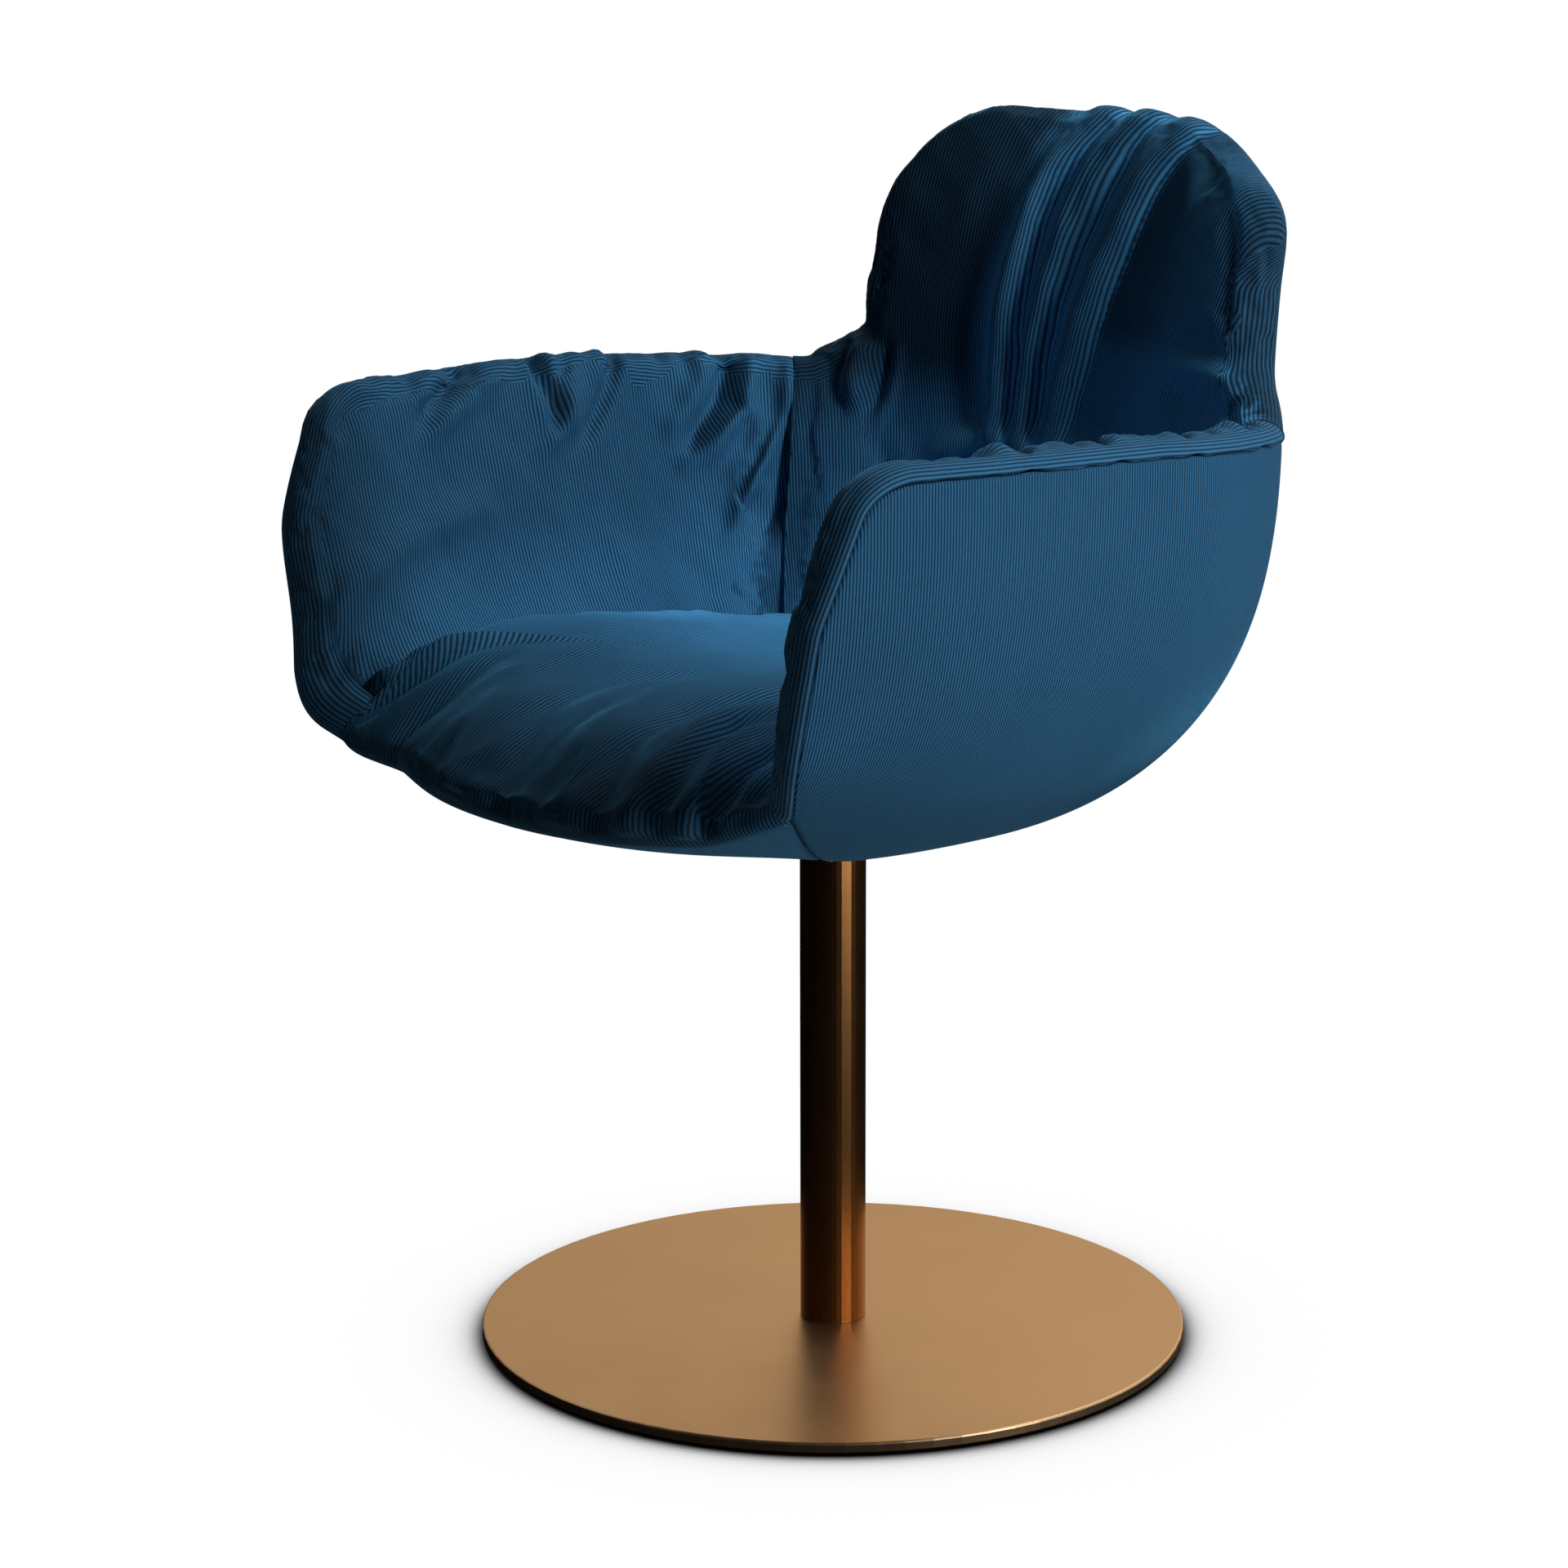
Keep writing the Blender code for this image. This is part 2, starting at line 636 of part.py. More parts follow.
def face_shares(place):
    """Shares down a pad's face: above the cushion's edge, and below it."""
    crease = crease_share(place)
    return [crease * share for share in FACE_SHARES] + [(crease + 1) / 2, 1.0]


def pad_section(place, end_distance):
    rim_depth = pad_depth(place, 0.0, end_distance)
    section = []
    for rise, share in CREST:
        depth = rim_depth * share - (CREST_OVERHANG if share < 0.05 else 0)
        section.append(place.over(CREST_HEIGHT * rise + RIM_FIT, depth))
    for share in face_shares(place):
        section.append(place.inside(place.shelf * share, pad_depth(place, share, end_distance)))
    for share in UPPER_LEVELS[::-1]:
        section.append(place.inside(place.shelf * share, PAD_BACK))
    section.append(place.over(RIM_FIT, PAD_BACK))
    section.append(place.over(RIM_FIT, COVER_THICKNESS))
    return section


def pad(name, start, end):
    sections = []
    for distance in distances_between(start, end):
        end_distance = min(distance - start, end - distance)
        sections.append(pad_section(station(distance), end_distance))
    outer_shares = [-1] * len(CREST) + face_shares(station(start))
    inner_shares = [-1, -1] + list(UPPER_LEVELS)
    return loft(name, sections, outer_shares, inner_shares)


# Seat cushion

RADIAL_SHARES = (0.30, 0.55, 0.76, 0.90, 0.97)
BORDER_SHARES = (0.0, 0.5, 1.0)


def seat_level(x, y):
    across = SEAT_FOLD_ANGLE
    wave = 2 * pi * (x * cos(radians(across)) + y * sin(radians(across))) / SEAT_FOLD_PITCH
    crown = SEAT_CROWN * clamp(1 - (x / 0.25) ** 2) * clamp(1 - (y / 0.29) ** 2)
    return BOWL_LOW + SEAT_HEIGHT + crown + SEAT_FOLD * sin(wave) * hypot(x, y) / 0.2


def cushion_chain(place):
    """From near the middle of the upper face, down beside the pads, under them and to the boss."""

    def face(share):
        depth = pad_depth(place, share, inf) + CUSHION_FIT
        return place.inside(place.shelf * share, depth)

    crease = crease_share(place)
    edge = face(crease)
    side = [edge, face((crease + 1) / 2)]
    border_share = place.shelf + BORDER_FIT / place.path_length
    inner_depth = pad_depth(place, 1.0, inf) + CUSHION_FIT
    border = [place.inside(border_share, inner_depth + (PAD_BACK - inner_depth) * share)
              for share in BORDER_SHARES]
    upper = []
    for share in RADIAL_SHARES:
        x, y = edge.x * share, edge.y * share
        near = smooth((share - 0.8) / 0.2) ** 2
        level = seat_level(x, y)
        upper.append(Vector((x, y, level + (edge.z - level) * near)))
    lower = [place.inside(place.shelf + (1 - place.shelf) * share, PAD_BACK) for share in LOWER_LEVELS]
    return upper + side + border + lower


def cushion():
    right = [HALF_DISTANCES[0]]
    for distance in HALF_DISTANCES[1:-1]:
        here, last = station(distance), station(right[-1])
        gap = here.inside(here.shelf, 0) - last.inside(last.shelf, 0)
        if distance == CORNER:
            right += [CORNER - SEAM_GAP * 0.15, CORNER + SEAM_GAP * 0.15]
        elif gap.length > CUSHION_FACET or abs(distance - CORNER) < CORNER_SPAN:
            right.append(distance)
    right.append(HALF_DISTANCES[-1])
    left = [2 * RIM_LENGTH - d for d in right[-2:0:-1]]
    chains = [cushion_chain(station(d)) for d in right + left]
    floor = BOWL_LOW + PAD_BACK
    return bowl_loft("seat_cushion", chains, (0, 0, seat_level(0, 0)), (0, 0, floor))


# Turning pieces with bores and grooves

def circlip_outline():
    inner = SPINDLE_RADIUS - CIRCLIP_GROOVE_DEPTH + FIT
    outer = inner + CIRCLIP_WIDTH
    half = radians(CIRCLIP_OPENING) / 2
    steps = 28
    turns = [half + (2 * pi - 2 * half) * k / steps for k in range(steps + 1)]
    outside = [(outer * cos(t), outer * sin(t)) for t in turns]
    inside = [(inner * cos(t), inner * sin(t)) for t in turns[::-1]]
    return outside + inside


def spindle_profile(groove_low):
    groove_high = groove_low + CIRCLIP_THICKNESS + 2 * FIT
    groove = SPINDLE_RADIUS - CIRCLIP_GROOVE_DEPTH
    return (
        (0, SPINDLE_LOW),
        (SPINDLE_RADIUS - 0.001, SPINDLE_LOW),
        (SPINDLE_RADIUS, SPINDLE_LOW + 0.001),
        (SPINDLE_RADIUS, groove_low),
        (groove, groove_low),
        (groove, groove_high),
        (SPINDLE_RADIUS, groove_high),
        (SPINDLE_RADIUS, SPINDLE_TOP),
        (SPIGOT_RADIUS, SPINDLE_TOP),
        (SPIGOT_RADIUS, PLATE_TOP - FIT),
        (0, PLATE_TOP - FIT),
    )


def placed(name, mesh, place, parent, material):
    piece = add_object(name, mesh, parent, material)
    piece.location = Vector(place) - parent.location
    return piece


def build_base(parent, steel, felt, plastic, screw_metal):
    felt_radius = BASE_RADIUS - FELT_INSET
    add_object("base_felt_pad", turned("base_felt_pad", cylinder_profile(felt_radius, 0, FELT_THICKNESS), 64),
               parent, felt)
    edge = BASE_EDGE
    disc = (
        (0, BASE_LOW),
        (BASE_RADIUS - edge, BASE_LOW),
        (BASE_RADIUS, BASE_LOW + edge),
        (BASE_RADIUS, BASE_TOP - edge),
        (BASE_RADIUS - edge * 0.3, BASE_TOP - edge * 0.3),
        (BASE_RADIUS - edge, BASE_TOP),
        (0, BASE_TOP),
    )
    plate = add_object("base_plate", turned("base_plate", disc, 80), parent, steel)
    add_object("column_tube", turned("column_tube", tube_profile(COLUMN_BORE, COLUMN_RADIUS, COLUMN_LOW, COLUMN_TOP), 40),
               parent, steel)
    plug_high = COLUMN_LOW + FOOT_PLUG_LENGTH
    plug = add_object("column_foot_plug",
                      turned("column_foot_plug", cylinder_profile(COLUMN_BORE - FIT, COLUMN_LOW, plug_high), 28),
                      parent, steel)
    head_low = BASE_LOW + FOOT_SCREW_RECESS
    cone = FOOT_SCREW_HEAD_RADIUS - FOOT_SCREW_RADIUS
    screw_profile = (
        (0, head_low + HEX_KEY_DEPTH),
        (HEX_KEY_RADIUS, head_low + HEX_KEY_DEPTH),
        (HEX_KEY_RADIUS, head_low),
        (FOOT_SCREW_HEAD_RADIUS, head_low),
        (FOOT_SCREW_RADIUS, head_low + cone),
        (FOOT_SCREW_RADIUS, head_low + FOOT_SCREW_LENGTH),
        (0, head_low + FOOT_SCREW_LENGTH),
    )
    screw_mesh = turned("foot_screw", screw_profile, 12)
    below = BASE_LOW - 0.001
    hole_profile = (
        (0, below),
        (FOOT_SCREW_HEAD_RADIUS + FIT, below),
        (FOOT_SCREW_HEAD_RADIUS + FIT, head_low + FIT / 2),
        (FOOT_SCREW_RADIUS + FIT, head_low + cone + FIT / 2),
        (FOOT_SCREW_RADIUS + FIT, plug_high + 0.001),
        (0, plug_high + 0.001),
    )
    for k in range(FOOT_SCREWS):
        turn = pi / 2 + 2 * pi * k / FOOT_SCREWS
        spot = (FOOT_SCREW_CIRCLE * cos(turn), FOOT_SCREW_CIRCLE * sin(turn), 0)
        cutter = placed(f"foot_hole_cutter_{k + 1}", turned("foot_hole", hole_profile, 12), spot, parent, steel)
        cut(plate, [cutter])
        cut(plug, [cutter])
        placed(f"foot_screw_{k + 1}", screw_mesh.copy(), spot, parent, screw_metal)
    bush_inner = SPINDLE_RADIUS + FIT
    bush_outer = COLUMN_BORE - FIT
    lower = tube_profile(bush_inner, bush_outer, LOWER_BUSH_TOP - BUSH_LENGTH, LOWER_BUSH_TOP)
    add_object("lower_bush", turned("lower_bush", lower, 28), parent, plastic)
    flange_low = COLUMN_TOP + FIT
    upper = (
        (bush_inner, COLUMN_TOP - BUSH_LENGTH),
        (bush_outer, COLUMN_TOP - BUSH_LENGTH),
        (bush_outer, flange_low),
        (BUSH_FLANGE_RADIUS, flange_low),
        (BUSH_FLANGE_RADIUS, FLANGE_TOP),
        (bush_inner, FLANGE_TOP),
    )
    add_object("upper_bush", turned("upper_bush", upper, 28), parent, plastic)
    washer_high = THRUST_WASHER_LOW + THRUST_WASHER_THICKNESS
    washer = tube_profile(bush_inner, BUSH_FLANGE_RADIUS, THRUST_WASHER_LOW, washer_high)
    add_object("thrust_washer", turned("thrust_washer", washer, 28), parent, screw_metal)


def build_swivel(parent, steel, screw_metal):
    washer_high = LOWER_BUSH_TOP - BUSH_LENGTH - FIT
    washer_low = washer_high - RETAINING_WASHER_THICKNESS
    groove_low = washer_low - 2 * FIT - CIRCLIP_THICKNESS - FIT
    add_object("spindle", turned("spindle", spindle_profile(groove_low), 24), parent, screw_metal)
    washer = tube_profile(SPINDLE_RADIUS + FIT, RETAINING_WASHER_RADIUS, washer_low, washer_high)
    add_object("spindle_washer", turned("spindle_washer", washer, 24), parent, screw_metal)
    clip_low = groove_low + FIT
    add_object("spindle_circlip",
               extruded("spindle_circlip", circlip_outline(), clip_low, clip_low + CIRCLIP_THICKNESS),
               parent, screw_metal)
    plate = add_object("seat_plate",
                       extruded("seat_plate", rounded_square(PLATE_SIDE, PLATE_CORNER), PLATE_LOW, PLATE_TOP),
                       parent, steel)
    spigot_hole = cylinder_profile(SPIGOT_RADIUS + FIT, PLATE_LOW - 0.001, PLATE_TOP + 0.001)
    cut(plate, [placed("spigot_cutter", turned("spigot_hole", spigot_hole, 32), (0, 0, 0), parent, steel)])
    return plate


def build_bolts(parent, plate, body, screw_metal, brass):
    washer_high = PLATE_LOW - FIT
    washer_low = washer_high - BOLT_WASHER_THICKNESS
    head_high = washer_low - FIT
    head_low = head_high - BOLT_HEAD_HEIGHT
    bolt_profile = (
        (0, head_low + HEX_KEY_DEPTH),
        (HEX_KEY_RADIUS, head_low + HEX_KEY_DEPTH),
        (HEX_KEY_RADIUS, head_low),
        (BOLT_HEAD_RADIUS * 0.7, head_low),
        (BOLT_HEAD_RADIUS, head_low + BOLT_HEAD_HEIGHT * 0.6),
        (BOLT_HEAD_RADIUS, head_high),
        (BOLT_RADIUS, head_high),
        (BOLT_RADIUS, head_high + BOLT_LENGTH),
        (0, head_high + BOLT_LENGTH),
    )
    bolt_mesh = turned("seat_bolt", bolt_profile, 12)
    washer_mesh = turned("bolt_washer", tube_profile(BOLT_RADIUS + FIT, BOLT_WASHER_RADIUS, washer_low, washer_high), 14)
    insert_low = BOSS_LOW + FIT
    insert_high = insert_low + INSERT_LENGTH
    insert_mesh = turned("threaded_insert", tube_profile(BOLT_RADIUS + FIT, INSERT_RADIUS, insert_low, insert_high), 14)
    plate_hole = cylinder_profile(BOLT_RADIUS + FIT, PLATE_LOW - 0.001, PLATE_TOP + 0.001)
    blind_hole = cylinder_profile(INSERT_RADIUS + FIT, BOSS_LOW - 0.001, insert_high + INSERT_HEADROOM)
    number = 0
    for x in (-BOLT_SPACING / 2, BOLT_SPACING / 2):
        for y in (-BOLT_SPACING / 2, BOLT_SPACING / 2):
            number += 1
            spot = (x, y, 0)
            placed(f"seat_bolt_{number}", bolt_mesh.copy(), spot, parent, screw_metal)
            placed(f"bolt_washer_{number}", washer_mesh.copy(), spot, parent, screw_metal)
            placed(f"threaded_insert_{number}", insert_mesh.copy(), spot, parent, brass)
            hole = turned("plate_hole", plate_hole, 12)
            cut(plate, [placed(f"plate_hole_cutter_{number}", hole, spot, parent, screw_metal)])
            hole = turned("insert_hole", blind_hole, 14)
            cut(body, [placed(f"insert_hole_cutter_{number}", hole, spot, parent, screw_metal)])


def build_seat(parent, fabric, shell_plastic):
    body = add_object("seat_shell", shell(), parent, shell_plastic)
    gap = SEAM_GAP / 2
    add_object("outer_cover_left", cover("outer_cover_left", CORNER + gap, RIM_LENGTH - gap), parent, fabric)
    right_start, right_end = RIM_LENGTH + gap, 2 * RIM_LENGTH - CORNER - gap
    add_object("outer_cover_right", cover("outer_cover_right", right_start, right_end), parent, fabric)
    add_object("front_cover", cover("front_cover", -CORNER + gap, CORNER - gap), parent, fabric)
    gap = PAD_GAP / 2
    add_object("front_pad", pad("front_pad", -CORNER + gap, CORNER - gap), parent, fabric)
    add_object("arm_pad_left", pad("arm_pad_left", CORNER + gap, PAD_JOINT - gap), parent, fabric)
    right_start, right_end = 2 * RIM_LENGTH - PAD_JOINT + gap, 2 * RIM_LENGTH - CORNER - gap
    add_object("arm_pad_right", pad("arm_pad_right", right_start, right_end), parent, fabric)
    back_start, back_end = PAD_JOINT + gap, 2 * RIM_LENGTH - PAD_JOINT - gap
    add_object("back_pad", pad("back_pad", back_start, back_end), parent, fabric)
    add_object("seat_cushion", cushion(), parent, fabric)
    return body


def build():
    clear_scene()
    bronze = make_material("bronze_metal", (0.20, 0.12, 0.06), 0.34, 1.0)
    zinc = make_material("zinc_plated_steel", (0.62, 0.62, 0.60), 0.35, 1.0)
    brass = make_material("brass", (0.70, 0.52, 0.24), 0.35, 1.0)
    nylon = make_material("nylon", (0.05, 0.05, 0.05), 0.45)
    felt = make_material("felt", (0.04, 0.035, 0.03), 0.95)
    shell_plastic = make_material("moulded_shell", (0.03, 0.03, 0.032), 0.55)
    corduroy = make_material("blue_corduroy", (0.025, 0.085, 0.150), 0.85)

    fixed = bpy.data.objects.new("base", None)
    turning = bpy.data.objects.new("seat", None)
    for empty in (fixed, turning):
        bpy.context.collection.objects.link(empty)
    build_base(fixed, bronze, felt, nylon, zinc)
    plate = build_swivel(turning, bronze, zinc)
    body = build_seat(turning, corduroy, shell_plastic)
    build_bolts(turning, plate, body, zinc, brass)


build()
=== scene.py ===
# Looks of the pedestal armchair: bronze foot and column, blue corduroy bucket seat with gathered folds.
from math import acos, atan2, cos, hypot, pi, radians, sin, tan

import bmesh
import bpy
import numpy as np
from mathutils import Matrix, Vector
from mathutils.kdtree import KDTree


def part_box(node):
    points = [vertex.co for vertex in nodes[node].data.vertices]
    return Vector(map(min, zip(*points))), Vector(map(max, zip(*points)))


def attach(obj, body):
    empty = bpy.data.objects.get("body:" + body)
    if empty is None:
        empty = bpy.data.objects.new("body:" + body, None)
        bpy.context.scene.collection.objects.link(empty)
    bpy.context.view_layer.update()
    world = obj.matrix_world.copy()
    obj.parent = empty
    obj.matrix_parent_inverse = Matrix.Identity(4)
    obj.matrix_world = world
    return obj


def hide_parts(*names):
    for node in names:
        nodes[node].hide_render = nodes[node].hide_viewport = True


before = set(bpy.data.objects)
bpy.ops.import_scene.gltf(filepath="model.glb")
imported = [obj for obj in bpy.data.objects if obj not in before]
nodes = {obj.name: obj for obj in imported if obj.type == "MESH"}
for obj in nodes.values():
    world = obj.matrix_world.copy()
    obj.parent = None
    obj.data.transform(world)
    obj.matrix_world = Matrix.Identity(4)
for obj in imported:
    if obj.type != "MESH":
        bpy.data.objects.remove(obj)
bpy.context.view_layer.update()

bpy.ops.object.select_all(action="DESELECT")


# Floor plate: one disc of 8 mm steel, laser cut, with its edges eased and the whole coated in satin
# bronze. The coating is even on top and rubbed a little lighter where the edge turns.

def new_node(tree, kind, **settings):
    node = tree.nodes.new("ShaderNode" + kind)
    for name, value in settings.items():
        setattr(node, name, value)
    return node


def math_node(tree, operation, first, second=None, third=None, clamp=False):
    node = new_node(tree, "Math", operation=operation, use_clamp=clamp)
    for socket, value in zip(node.inputs, (first, second, third)):
        if value is None:
            continue
        if isinstance(value, (int, float)):
            socket.default_value = value
        else:
            tree.links.new(value, socket)
    return node.outputs[0]


def mix_colours(tree, factor, first, second, blend="MIX"):
    node = new_node(tree, "Mix", data_type="RGBA", blend_type=blend)
    for socket, value in ((node.inputs[0], factor), (node.inputs[6], first), (node.inputs[7], second)):
        if isinstance(value, (int, float)):
            socket.default_value = value
        elif isinstance(value, tuple):
            socket.default_value = (*value, 1.0)
        else:
            tree.links.new(value, socket)
    return node.outputs[2]


def new_group(name, inputs, outputs):
    group = bpy.data.node_groups.new(name, "ShaderNodeTree")
    for label, kind, value in inputs:
        socket = group.interface.new_socket(label, in_out="INPUT", socket_type="NodeSocket" + kind)
        socket.default_value = (*value, 1.0) if kind == "Color" else value
    for label, kind in outputs:
        group.interface.new_socket(label, in_out="OUTPUT", socket_type="NodeSocket" + kind)
    given = group.nodes.new("NodeGroupInput").outputs
    return group, given, group.nodes.new("NodeGroupOutput").inputs


def centred(tree, texture):
    """A noise texture's value, from about -0.5 to 0.5."""
    return math_node(tree, "SUBTRACT", texture.outputs[0], 0.5)


def coated_group():
    """Even coating or plating: faint clouds in its colour, uneven gloss, fine orange peel, worn places."""
    group, given, out = new_group(
        "coated_surface",
        (("Colour", "Color", (0.5, 0.5, 0.5)), ("Worn Colour", "Color", (0.6, 0.6, 0.6)),
         ("Wear", "Float", 0.0), ("Gloss Loss", "Float", 0.3), ("Cloud Scale", "Float", 7.0),
         ("Peel Scale", "Float", 900.0), ("Clouds", "Float", 0.12)),
        (("Colour", "Color"), ("Roughness", "Float"), ("Height", "Float")))
    place = new_node(group, "TexCoord").outputs["Object"]
    clouds = new_node(group, "TexNoise")
    peel = new_node(group, "TexNoise")
    smudges = new_node(group, "TexNoise")
    for texture, detail in ((clouds, 4.0), (peel, 2.0), (smudges, 5.0)):
        group.links.new(place, texture.inputs["Vector"])
        texture.inputs["Detail"].default_value = detail
    smudges.inputs["Scale"].default_value = 22.0
    group.links.new(given["Cloud Scale"], clouds.inputs["Scale"])
    group.links.new(given["Peel Scale"], peel.inputs["Scale"])
    tone = math_node(group, "MULTIPLY_ADD", centred(group, clouds), given["Clouds"], 1.0)
    shade = new_node(group, "CombineColor")
    for channel in range(3):
        group.links.new(tone, shade.inputs[channel])
    plain = mix_colours(group, 1.0, given["Colour"], shade.outputs[0], "MULTIPLY")
    patchy = math_node(group, "MULTIPLY_ADD", smudges.outputs[0], 1.6, -0.25, clamp=True)
    rubbed = math_node(group, "MULTIPLY", given["Wear"], patchy, clamp=True)
    group.links.new(mix_colours(group, rubbed, plain, given["Worn Colour"]), out["Colour"])
    gloss = math_node(group, "MULTIPLY_ADD", centred(group, smudges), 0.10, given["Gloss Loss"], clamp=True)
    group.links.new(gloss, out["Roughness"])
    group.links.new(peel.outputs[0], out["Height"])
    return group


COATED = coated_group()


def coated_material(name, colour, worn, gloss_loss, metallic, peel=900.0, peel_height=0.00002,
                    clouds=0.12, wear=None, edge=(1.0, 1.0, 1.0)):
    """A coated, plated or moulded finish. The wear is a function that builds the mask of rubbed places."""
    material = bpy.data.materials.new(name)
    material.use_nodes = True
    tree = material.node_tree
    shader = tree.nodes["Principled BSDF"]
    coat = new_node(tree, "Group", node_tree=COATED)
    coat.inputs["Colour"].default_value = (*colour, 1.0)
    coat.inputs["Worn Colour"].default_value = (*worn, 1.0)
    coat.inputs["Gloss Loss"].default_value = gloss_loss
    coat.inputs["Peel Scale"].default_value = peel
    coat.inputs["Clouds"].default_value = clouds
    if wear:
        tree.links.new(wear(tree), coat.inputs["Wear"])
    tree.links.new(coat.outputs["Colour"], shader.inputs["Base Color"])
    tree.links.new(coat.outputs["Roughness"], shader.inputs["Roughness"])
    shader.inputs["Metallic"].default_value = metallic
    shader.inputs["Specular Tint"].default_value = (*edge, 1.0)
    bump = new_node(tree, "Bump")
    bump.inputs["Distance"].default_value = peel_height
    bump.inputs["Strength"].default_value = 0.6
    tree.links.new(coat.outputs["Height"], bump.inputs["Height"])
    tree.links.new(bump.outputs[0], shader.inputs["Normal"])
    return material


def far_from_axis(start, end):
    """Mask that rises from a start radius to an end radius round the column."""
    def build(tree):
        place = new_node(tree, "SeparateXYZ")
        tree.links.new(new_node(tree, "TexCoord").outputs["Object"], place.inputs[0])
        across = math_node(tree, "POWER", place.outputs[0], 2.0)
        along = math_node(tree, "POWER", place.outputs[1], 2.0)
        radius = math_node(tree, "SQRT", math_node(tree, "ADD", across, along))
        ramp = new_node(tree, "MapRange")
        tree.links.new(radius, ramp.inputs["Value"])
        ramp.inputs["From Min"].default_value = start
        ramp.inputs["From Max"].default_value = end
        return ramp.outputs[0]
    return build


def near_heights(heights, reach):
    """Mask of the places within a reach of some heights, such as the ends of a tube."""
    def build(tree):
        place = new_node(tree, "SeparateXYZ")
        tree.links.new(new_node(tree, "TexCoord").outputs["Object"], place.inputs[0])
        mask = None
        for height in heights:
            off = math_node(tree, "ABSOLUTE", math_node(tree, "SUBTRACT", place.outputs[2], height))
            near = math_node(tree, "SUBTRACT", 1.0, math_node(tree, "DIVIDE", off, reach), clamp=True)
            mask = near if mask is None else math_node(tree, "MAXIMUM", mask, near)
        return mask
    return build


def dress(node, material):
    nodes[node].data.materials.clear()
    nodes[node].data.materials.append(material)


PLATE_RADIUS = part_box("base_plate")[1].x
WEAR_START = PLATE_RADIUS - 0.0018
WEAR_FULL = PLATE_RADIUS - 0.0004
dress("base_plate", coated_material("bronze_plate", (0.42, 0.26, 0.13), (0.50, 0.34, 0.20), 0.36, 1.0,
                                    wear=far_from_axis(WEAR_START, WEAR_FULL), edge=(0.68, 0.54, 0.46)))


# Felt sheet: 1.7 mm of pressed wool glued under the plate so that it doesn't scratch the floor. Its edge
# stays 8 mm inside the plate's, so it doesn't show from above.

def felt_material():
    material = bpy.data.materials.new("felt")
    material.use_nodes = True
    tree = material.node_tree
    shader = tree.nodes["Principled BSDF"]
    place = new_node(tree, "TexCoord").outputs["Object"]
    fibres = new_node(tree, "TexNoise")
    fibres.inputs["Scale"].default_value = 420.0
    fibres.inputs["Detail"].default_value = 6.0
    fibres.inputs["Distortion"].default_value = 1.4
    tree.links.new(place, fibres.inputs["Vector"])
    tree.links.new(mix_colours(tree, fibres.outputs[0], (0.018, 0.016, 0.014), (0.075, 0.068, 0.060)),
                   shader.inputs["Base Color"])
    shader.inputs["Roughness"].default_value = 0.95
    shader.inputs["Sheen Weight"].default_value = 0.3
    bump = new_node(tree, "Bump")
    bump.inputs["Distance"].default_value = 0.0004
    tree.links.new(fibres.outputs[0], bump.inputs["Height"])
    tree.links.new(bump.outputs[0], shader.inputs["Normal"])
    return material


dress("base_felt_pad", felt_material())


# Column: 48.3 mm round tube in the same bronze, standing on a plug that three countersunk screws
# hold from below. The coating is a little smoother than on the plate, and its colour is painted darker, as
# shade.

column_low, column_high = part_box("column_tube")
RUBBED_TUBE_END = 0.0012
# Painted shade: the column's colour is darker than the plate's, for the dark reflection the round tube shows.
bronze_column = coated_material("bronze_column", (0.30, 0.140, 0.048), (0.42, 0.27, 0.15), 0.27, 1.0,
                                wear=near_heights((column_low.z, column_high.z), RUBBED_TUBE_END))
dress("column_tube", bronze_column)
dress("column_foot_plug", bronze_column)


# Small steel parts: zinc plated screws, bolts, washers, spindle and its clip, turned or pressed and
# then plated, so they are pale, faintly cloudy and a little dull.

zinc = coated_material("zinc_plating", (0.60, 0.61, 0.60), (0.78, 0.78, 0.76), 0.34, 1.0,
                       peel=1500.0, clouds=0.30)
for node in nodes:
    if node.startswith(("foot_screw", "seat_bolt", "bolt_washer", "spindle", "thrust_washer")):
        dress(node, zinc)


# Bushes and inserts: two nylon bushes guide the spindle in the column, and four brass inserts
# moulded into the shell take the bolts. All of them are hidden in use.

nylon = coated_material("nylon", (0.035, 0.035, 0.037), (0.10, 0.10, 0.10), 0.48, 0.0, peel=600.0)
brass = coated_material("brass", (0.70, 0.50, 0.22), (0.85, 0.66, 0.36), 0.30, 1.0,
                        peel=1200.0, clouds=0.20)
for node in nodes:
    if node.endswith("_bush"):
        dress(node, nylon)
    if node.startswith("threaded_insert"):
        dress(node, brass)


# Seat plate: a square of 5 mm steel in the column's bronze, with eased corners and edges that are
# rubbed lighter. It carries the bucket, and its front edge shows beside the column.

plate_low, plate_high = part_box("seat_plate")
RUBBED_PLATE_EDGE = 0.0005
# Painted shade: the colour is darker than the column's, for the shade under the bucket.
dress("seat_plate", coated_material("bronze_seat_plate", (0.20, 0.105, 0.045), (0.42, 0.27, 0.15), 0.32, 1.0,
                                    wear=near_heights((plate_low.z, plate_high.z), RUBBED_PLATE_EDGE)))


# Shell: 6 mm of moulded black plastic that gives the bucket its shape. It is wrapped in upholstery,
# and only its round boss shows between the covers under the seat.

dress("seat_shell", coated_material("moulded_shell", (0.028, 0.028, 0.030), (0.07, 0.07, 0.07), 0.55, 0.0,
                                    peel=450.0, peel_height=0.00008, clouds=0.3))


# Outer covers: corduroy laminated to thin foam, cut in a left and a right half that meet in a seam
# down the middle of the back, and stretched taut over the outside of the shell. A third cover closes
# the underside between the two diagonal seams at the front.

